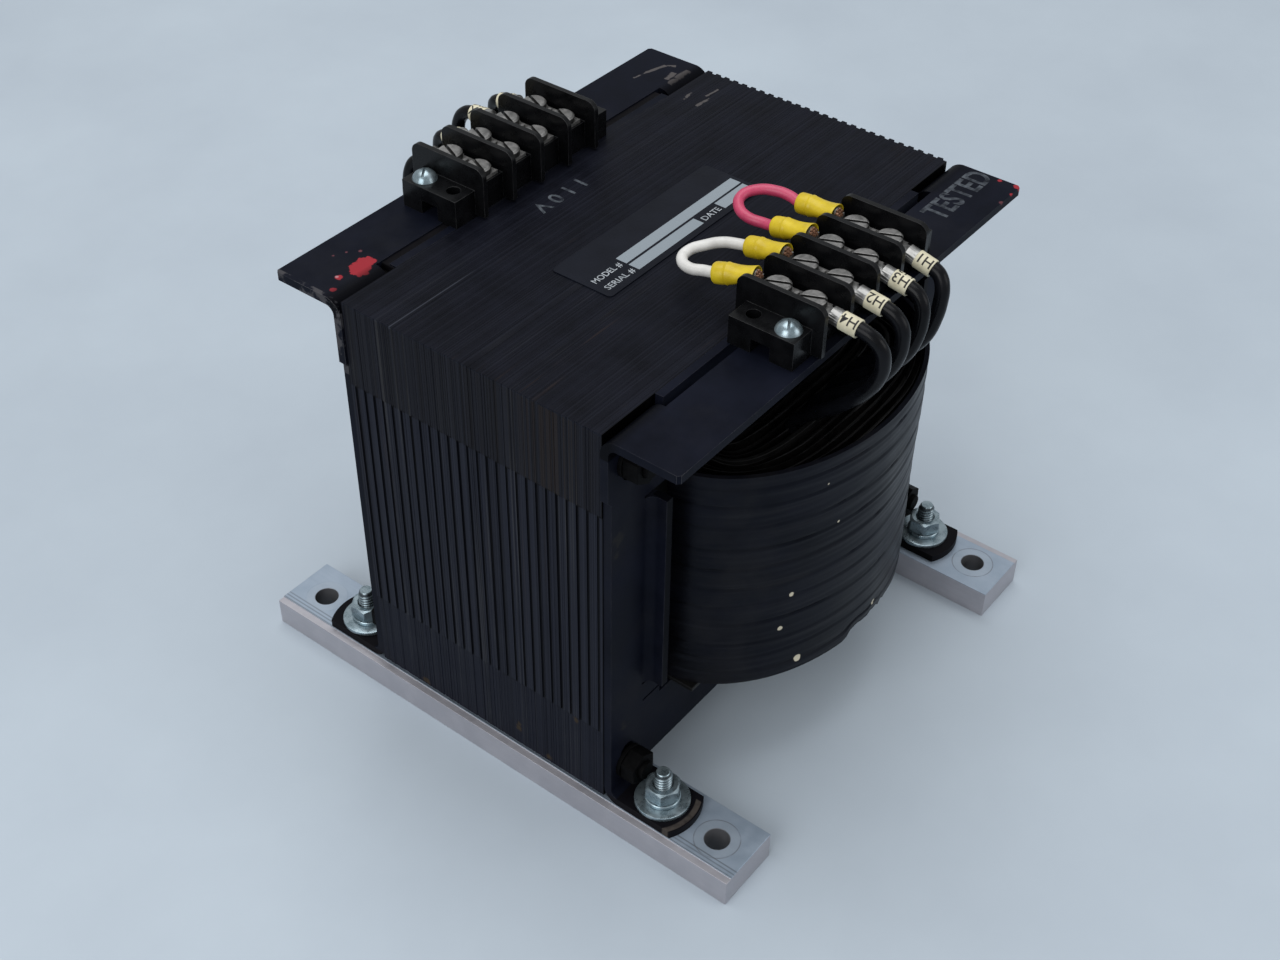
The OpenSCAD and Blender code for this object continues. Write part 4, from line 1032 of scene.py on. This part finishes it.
# %% Nuts
NUT_AF, NUT_H, NUT_BORE, NUT_Z = 11.1, 5.6, 3.2, 17.7
corner = NUT_AF / math.sqrt(3)
drop = (corner - NUT_AF / 2) * math.tan(math.radians(30)) + 0.25
in_r = NUT_AF / 2 - 0.35
deselect()
bpy.ops.mesh.primitive_cylinder_add(vertices=6, radius=corner * MM, depth=NUT_H * MM,
                                    location=(0, 0, NUT_H / 2 * MM))
nut = new_piece("nut", zinc)
bpy.ops.object.transform_apply(location=True, rotation=True, scale=True)
apply(nut, "BEVEL", width=0.25 * MM, segments=2, limit_method="ANGLE", angle_limit=math.radians(50))
cone = ((NUT_BORE, 0), (in_r, 0), (corner + 0.1, drop), (corner + 0.1, NUT_H - drop), (in_r, NUT_H),
        (NUT_BORE + 0.55, NUT_H), (NUT_BORE, NUT_H - 0.5))
cut(nut, turned("cone", zinc, cone, 48), "INTERSECT")
smooth(nut, 28)
settle(copies(nut, "stud_nuts", at_feet(NUT_Z)), "zinc_steel", "base_nuts")

# %% [markdown]
# ## Windings in the mouth of the coil
# Between the core and the tape one looks down on the end of the winding: turns of wire in layers,
# with paper between them that stands up unevenly. A ring of points is drawn along a section that
# goes up and down at each layer, and each ring follows the outline that the coil has there.

# %% Wind layers between two sizes
TUBE_HW, PRIMARY_HW, PAPER_HW, SECONDARY_HW = 33.75, 45.95, 47.15, 61.1
TUBE_BULGE, TUBE_POWER, LAYER_AROUND = 2.0, 4.4, 160
PAPER_LIFT, PAPER_WAVE, PAPER_T, DIP = 1.3, 1.5, 0.3, 1.2
wire_dark = finish("varnished wire", (0.0016, 0.0015, 0.0015), (0.005, 0.0042, 0.004), 220, (0.35, 0.5),
                   specular=0.15)


def layer_outline(hw):
    """The outline grows from a square with round corners to that of the coil."""
    share = (hw - TUBE_HW) / (COIL_HW - TUBE_HW)
    bulge = TUBE_BULGE + share * (COIL_BULGE - TUBE_BULGE)
    return coil_outline(LAYER_AROUND, hw, bulge, TUBE_POWER - share * (TUBE_POWER - COIL_POWER))[0]


def wound(name, inner, outer, layers, node):
    """Layers of wire with a wavy paper edge between them."""
    step = (outer - inner) / layers
    low = WINDING_TOP - DIP
    section = [(outer, WRAP_Z0, 0), (inner, WRAP_Z0, 0)]
    for k in range(layers):
        hw = inner + k * step
        section += [(hw, WINDING_TOP, 1), (hw + PAPER_T, WINDING_TOP, 1), (hw + PAPER_T + 0.02, low, 0),
                    (hw + 0.5 * step, WINDING_TOP - 0.5, 0), (hw + step - 0.02, low, 0)]
    section.append((outer, low, 0))
    piece = point_ring(name, wire_dark, LAYER_AROUND)
    piece.data.materials.append(paper_edge)
    draw_up(piece, len(section), 1)
    rings = [layer_outline(hw) for hw, _, _ in section]
    for point in piece.data.vertices:
        k = round(point.co.z) % len(section)
        i = round(math.atan2(point.co.y, point.co.x) / (2 * math.pi) * LAYER_AROUND) % LAYER_AROUND
        hw, z, is_paper = section[k]
        if is_paper:
            z += PAPER_LIFT + PAPER_WAVE * waves(i / 9, hw / 3, 0)
        point.co = Vector((*rings[k][i], z)) * MM
    face_outward(piece)
    for face in piece.data.polygons:
        lowest = min(piece.data.vertices[v].co.z for v in face.vertices)
        face.material_index = int(lowest > (WINDING_TOP + 0.01) * MM)
    return settle(piece, "winding", node)


wound("primary_layers", TUBE_HW + 0.05, PRIMARY_HW, 5, "primary_winding")
wound("secondary_layers", PAPER_HW, SECONDARY_HW, 6, "secondary_winding")
dress("winding_insulation", paper, "insulation", 0.15, worn=paper_edge, angle=60)

# %% [markdown]
# ## Marker sleeves with letters
# Each lead has a cream sleeve with its generic terminal letter. A text is made a mesh, cut into
# narrow strips so that it can bend, and laid round the sleeve with the letters along the wire.

# %% Letters as a mesh
CAP_SHARE = 0.72


def letters(name, body, height, material, strip=0.0, bold=0.012, apart=1.0):
    """A flat text with its middle at the origin, in mm high letters, cut into strips."""
    deselect()
    bpy.ops.object.text_add()
    text = bpy.context.object.data
    text.body = body
    text.align_x = "CENTER"
    text.size = height * MM / CAP_SHARE
    text.resolution_u = 3
    text.offset = bold * height * MM
    text.space_character = apart
    bpy.ops.object.convert(target="MESH")
    piece = new_piece(name, material)
    piece.data.transform(Matrix.Translation((0, -height / 2 * MM, 0)))
    if strip:
        for k in range(-int(height / 2 / strip), int(height / 2 / strip) + 1):
            edit_all(piece)
            bpy.ops.mesh.bisect(plane_co=(0, k * strip * MM, 0), plane_no=(0, 1, 0))
            leave()
    return piece


# %% Sleeves on the leads
MARKER_R, MARKER_IN, INK_GAP = 3.0, 2.45, 0.04
WORD_H, STRIP, WORD_TURN, TWICE = 3.4, 0.4, math.radians(38), 2
MARKS = {"front": ("H4", "H2", "H3", "H1"), "rear": ("X1", "X2", "X3", "X4")}
TUBE = ((MARKER_IN, 0.1), (MARKER_R - 0.15, 0), (MARKER_R, 0.15), (MARKER_R, MARKER_L - 0.15),
        (MARKER_R - 0.15, MARKER_L), (MARKER_IN, MARKER_L - 0.1))
cream = finish("cream sleeve", (0.50, 0.46, 0.33), (0.66, 0.62, 0.47), 180, (0.4, 0.55), specular=0.3)
ink = finish("black ink", (0.012, 0.012, 0.013), (0.035, 0.034, 0.032), 400, (0.4, 0.6), specular=0.2)
for name, side in SIDES.items():
    aside = Vector((side["turn"], 0, 0))
    made = []
    for i in range(POLES):
        start, end = (facing(side, barrel_point(side, i, length)) for length in (0.0, MARKER_L))
        axis = (end - start).normalized()
        top = aside.cross(axis)
        top = top if top.z > 0 else -top
        tube = turned("tube", cream, TUBE, 32)
        smooth(tube, 40)
        turn = Matrix((top.cross(axis), top, axis)).transposed().to_4x4()
        tube.data.transform(shift(*start) @ turn)
        tube.data.materials.append(ink)
        made.append(tube)
        for middle in (-WORD_TURN, WORD_TURN) if i == TWICE else (WORD_TURN,):
            word = letters("word", MARKS[name][i], WORD_H, ink, strip=STRIP)
            for point in word.data.vertices:
                angle = point.co.y / MM / MARKER_R + middle
                around = top * math.cos(angle) + aside * math.sin(angle)
                along = MARKER_L / 2 - point.co.x / MM
                point.co = (start + axis * along + around * (MARKER_R + INK_GAP)) * MM
            made.append(word)
    settle(join(made, name + "_marker_sleeves"), "marker_sleeve", name + "_lead_markers")

# %% [markdown]
# ## Round-head screws of the blocks
# Each ear of a block is held by a round-head screw. Its head is a cap cut from a ball, so the
# section follows an arc, and a thin box cuts the slot.

# %% Round-head screws of the blocks
EAR_TOP, DOME_R, DOME_H, SHANK_R, SHANK_END, DOME_STEPS = 181.85, 4.3, 3.17, 2.0, 164.65, 10
BLOCK_SCREWS = {"front": ((-32.8, -71.4), (34.8, -71.4)), "rear": ((-37.8, 69.4), (29.8, 69.4))}
ball = DOME_H / 2 + DOME_R ** 2 / (2 * DOME_H)
rim = math.asin(DOME_R / ball)
dome = [(ball * math.sin(a), DOME_H - ball + ball * math.cos(a))
        for a in (rim * k / DOME_STEPS for k in range(DOME_STEPS, -1, -1))]
shank = [(0, SHANK_END - EAR_TOP), (SHANK_R, SHANK_END - EAR_TOP), (SHANK_R, 0)]
for name, places in BLOCK_SCREWS.items():
    screw = turned("screw", zinc, shank + dome, 40)
    cut(screw, box("slot", zinc, (0, 0, DOME_H), (12, 0.9, 2.2), (0, 0, 30)))
    smooth(screw, 30)
    screws = copies(screw, name + "_round_heads", [shift(*place, EAR_TOP) for place in places])
    settle(screws, "zinc_steel", name + "_block_screws")

# %% [markdown]
# ## Plate and ink marks
# The plate on the core is a dark printed sheet with pale fields, and the fields stay empty. Ink
# marks are letters that lie just above the surface. Their ink is uneven: a mottle goes from the
# pale ink to the dark tone of the surface below, so the marks look rubbed.

# %% Plate with empty fields
plate_face = finish("printed plate", (0.004, 0.0048, 0.0085), (0.0065, 0.0078, 0.0135), 60, (0.3, 0.42),
                    specular=0.08)
FIELDS = ((-24.3, 38.3, -4.25, 0.1), (-24.4, 10.1, -9.5, -5.2), (21.9, 38.1, -9.6, -5.1))
x, y, z = axes(plate_face)
for x0, x1, y0, y1 in FIELDS:
    field = (abs(x - (x0 + x1) / 2) < (x1 - x0) / 2) * (abs(y - (y0 + y1) / 2) < (y1 - y0) / 2)
    cover(plate_face, field * 0.97, (0.235, 0.27, 0.30))
dress("nameplate", plate_face, "plate_face", 0.08)

# %% Rubbed letters on the plate, the core and the flange
def stamp(name, body, height, width, corner, slot, material, turn=0.0, **style):
    """Letters laid flat with the start of their base line at a corner, stretched to a width."""
    word = letters(name, body, height, material, **style)
    xs = [p.co.x for p in word.data.vertices]
    start, grow = min(xs), width * MM / (max(xs) - min(xs))
    for point in word.data.vertices:
        point.co.x = (point.co.x - start) * grow
        point.co.y += height / 2 * MM
    word.data.transform(shift(*corner) @ Matrix.Rotation(math.radians(turn), 4, "Z"))
    return settle(word, slot)


PLATE_INK_Z, CORE_INK_Z, FLANGE_INK_Z = 172.3, 171.95, 171.9
white_ink = finish("white print", (0.22, 0.24, 0.26), (0.42, 0.45, 0.48), 300, (0.45, 0.6), specular=0.1)
rubbed_ink = finish("rubbed ink", (0.006, 0.0075, 0.012), (0.092, 0.104, 0.120), 330, (0.45, 0.6),
                    specular=0.05)
stamp("plate_word_1", "MODEL #", 2.5, 13.6, (-39.2, -4.0, PLATE_INK_Z), "plate_face", white_ink)
stamp("plate_word_2", "SERIAL #", 2.5, 13.6, (-39.2, -9.2, PLATE_INK_Z), "plate_face", white_ink)
stamp("plate_word_3", "DATE", 2.5, 9.0, (11.6, -9.2, PLATE_INK_Z), "plate_face", white_ink)
stamp("voltage_mark", "110V", 6.0, 23.5, (5.2, 41.0, CORE_INK_Z), "core_steel", rubbed_ink, turn=180,
      bold=0.02, apart=1.5)
stamp("test_mark", "TESTED", 9.0, 34.5, (61.2, -69.4, FLANGE_INK_Z), "frame_paint", rubbed_ink, bold=0.03)

# %% [markdown]
# ## Use, wear and painted shade
# Last come the marks that show how the object was made and used, and some painted shade. A dark
# box fills the bottom of each slot between the flanges and the core as painted shade. Smudges, splashes
# of red and streaks of cream paint lie on the frames, with scuffs, spots of rust and a scratch on
# the core. Painted shade darkens the folds and the flaps beside the coil, one foot shows bare metal
# at its tip, and the paint has worn off some edges. All but the dark boxes are masks over a finish, because
# they have hardly any thickness.

# %% Painted shade: dark boxes in the bottom of the slots
slot_shade_finish = finish("painted shade in the slots", (0.0034, 0.0032, 0.004), (0.006, 0.0056, 0.007), 150,
                     (0.5, 0.65), specular=0.03)
# Painted shade: dark boxes sit in the bottom of the slots between the flanges and the core.
SLOT_FILLS = [((65.5 * s, -55.0, 165.0), (21.0, 6.4, 3.0), dark_steel) for s in (-1, 1)]
SLOT_FILLS += [((73.0 * s, 55.0, 166.2), (6.0, 6.4, 5.4), dark_steel) for s in (-1, 1)]
SLOT_FILLS.append(((0, 55.2, 167.9), (142.8, 6.0, 6.8), slot_shade_finish))
fills = [box("slot_varnish", material, middle, size) for middle, size, material in SLOT_FILLS]
for fill in fills:
    apply(fill, "BEVEL", width=0.4 * MM, segments=2)
settle(join(fills, "slot_varnish"), "frame_paint")

# %% Smudges, splashes and streaks on the flanges
RED, DULL_RED, CREAM = (0.27, 0.025, 0.034), (0.10, 0.036, 0.044), (0.072, 0.066, 0.066)
SMUDGES = ((-91.5, 131.0, 3.0), (-92.5, 124.0, 2.0), (-88.0, 44.0, 2.4), (-79.6, 37.6, 0.5))
SPLASHES = ((-79.6, 59.4, 3.1, RED), (-75.0, 60.8, 2.9, RED), (-77.4, 60.3, 3.0, RED),
            (-86.4, 61.4, 1.2, RED), (-86.6, 62.2, 0.5, (0.38, 0.17, 0.19)),
            (-92.3, 58.2, 1.1, (0.20, 0.022, 0.03)), (-71.6, 66.7, 0.55, DULL_RED),
            (-74.9, 69.7, 0.4, DULL_RED), (-78.9, 71.5, 0.35, DULL_RED), (95.6, -78.8, 1.5, RED),
            (83.4, -79.3, 0.8, DULL_RED), (90.0, -79.4, 0.7, RED), (95.4, -72.0, 0.7, RED))
STREAKS = (((73.7, 69.6), (81.8, 68.1), 0.7), ((80.0, 68.5), (89.0, 66.2), 1.0),
           ((88.0, 66.8), (90.9, 62.8), 1.1), ((78.5, 56.6), (91.2, 57.2), 2.0),
           ((80.5, 59.3), (86.5, 60.4), 1.6))
STREAK_Z = 165.0


def streak(made, start, end, half_width):
    """A ragged cream streak between two places on top of the object."""
    x, y, z = axes(made)
    length = math.dist(start, end)
    way_x, way_y = ((b - a) / length for a, b in zip(start, end))
    dx, dy = x - start[0], y - start[1]
    reach = dx * way_x + dy * way_y
    aside = dy * way_x - dx * way_y
    near = spread(abs(aside), half_width, 0) * group(made.node_tree, "mottle", Scale=330)["Mask"]
    cover(made, spread(near, 0.12, 0.3) * (reach > 0) * (reach < length) * (z > STREAK_Z), CREAM)


cover(paint, patches(paint, 19, 0.45, 0.95, 0.0, 0.4), (0.014, 0.0145, 0.018))
for x, z, radius in SMUDGES:
    splash(paint, (x, -FACE_Y - 3.0, z), radius, (0.014, 0.014, 0.0155), ragged=9.0, soft=2.0)
for line in STREAKS:
    streak(paint, *line)
for x, y, radius, colour in SPLASHES:
    for made in (paint, worn_paint):
        splash(made, (x, y, CORE_TOP), radius + 0.2, colour, ragged=0.8 + 1.1 * radius)
print("splashes:", len(SPLASHES), "streaks:", len(STREAKS))

# %% Scuffs, rust and a scratch on the core
SCUFFS = (((72.5, 45.4), (78.5, 46.4), 0.9), ((71.5, 39.0), (79.0, 38.6), 1.0),
          ((79.5, 40.6), (86.5, 40.0), 0.7))
RUST = ((-14.0, 20.7, 1.6), (-14.4, 23.0, 1.1), (30.2, 14.6, 1.8), (-27.4, 15.0, 1.6), (-39.9, 43.3, 1.6))
SCRATCH_Y, SCRATCH_FROM, SCRATCH_TO, SCRATCH_Z = 31.0, -56.0, -66.0, 171.0
for line in SCUFFS:
    streak(core_varnish, *line)
for y, z, radius in RUST:
    splash(core_varnish, (-CORE_HW, y, z), radius, (0.036, 0.026, 0.017), ragged=3.5, soft=0.8)
x, y, z = axes(core_varnish)
scratch = spread(abs(y - SCRATCH_Y), 0.35, 0.05) * spread(x, SCRATCH_FROM, SCRATCH_TO, 0.0, 0.6)
cover(core_varnish, scratch * (z > SCRATCH_Z), (0.05, 0.055, 0.07))
print("scuffs:", len(SCUFFS), "rust spots:", len(RUST))

# %% Painted shade in the folds and on the flaps, bare tip of a foot, worn edges
TIP_X, TIP_Y, TIP_R, FOOT_TOP = 85.25, 64.1, 16.5, 14.6
FOLD_X, FOLD_Y, FOLD_Z = 73.0, 57.5, 164.0
FLAP_X, FLAP_W, FLAP_Y, FLAP_TOP = 71.4, 4.2, 55.0, 150.0
EDGE_X, EDGE_Z = -94.9, 143.0
WORN = (((-95.2, 57, 166), 9.0), ((-95.2, 66, 171), 8.0), ((-95.2, 54, 150), 9.0), ((-95, -79, 171), 4.0))
for made in (paint, worn_paint):
    x, y, z = axes(made)
    fold_shade = spread(abs(y) - FOLD_Y, 1.5, -2.5) * (abs(x) > FOLD_X) * (z > FOLD_Z)
    flap_shade = (abs(abs(x) - FLAP_X) < FLAP_W) * (abs(y) > FLAP_Y) * (z < FLAP_TOP)
    on_foot = z < FOOT_TOP
    tip = spread(abs(round_gap(made, TIP_X, TIP_Y) - TIP_R), 1.1, 0.8) * (x < -78) * (y < -70) * on_foot
    # Painted shade in the fold between each flange and the core.
    cover(made, fold_shade * 0.85, (0.0012, 0.0013, 0.002))
    # Painted shade on the flaps beside the coil.
    cover(made, flap_shade * 0.9, (0.0022, 0.0025, 0.004))
    cover(made, on_foot * 0.7, (0.0052, 0.0044, 0.0046))
    cover(made, tip * patches(made, 140, 0.2, 0.6, 0.45, 0.95), (0.058, 0.050, 0.045))
x, y, z = axes(paint)
edge = (x < EDGE_X) * (z > EDGE_Z) * (y > 0)
cover(paint, edge * patches(paint, 150, 0.45, 0.62, 0.0, 0.85), (0.060, 0.058, 0.063))
for place, radius in WORN:
    splash(worn_paint, place, radius, (0.085, 0.084, 0.088), ragged=12.0, soft=3.0)
print("worn places:", len(WORN))
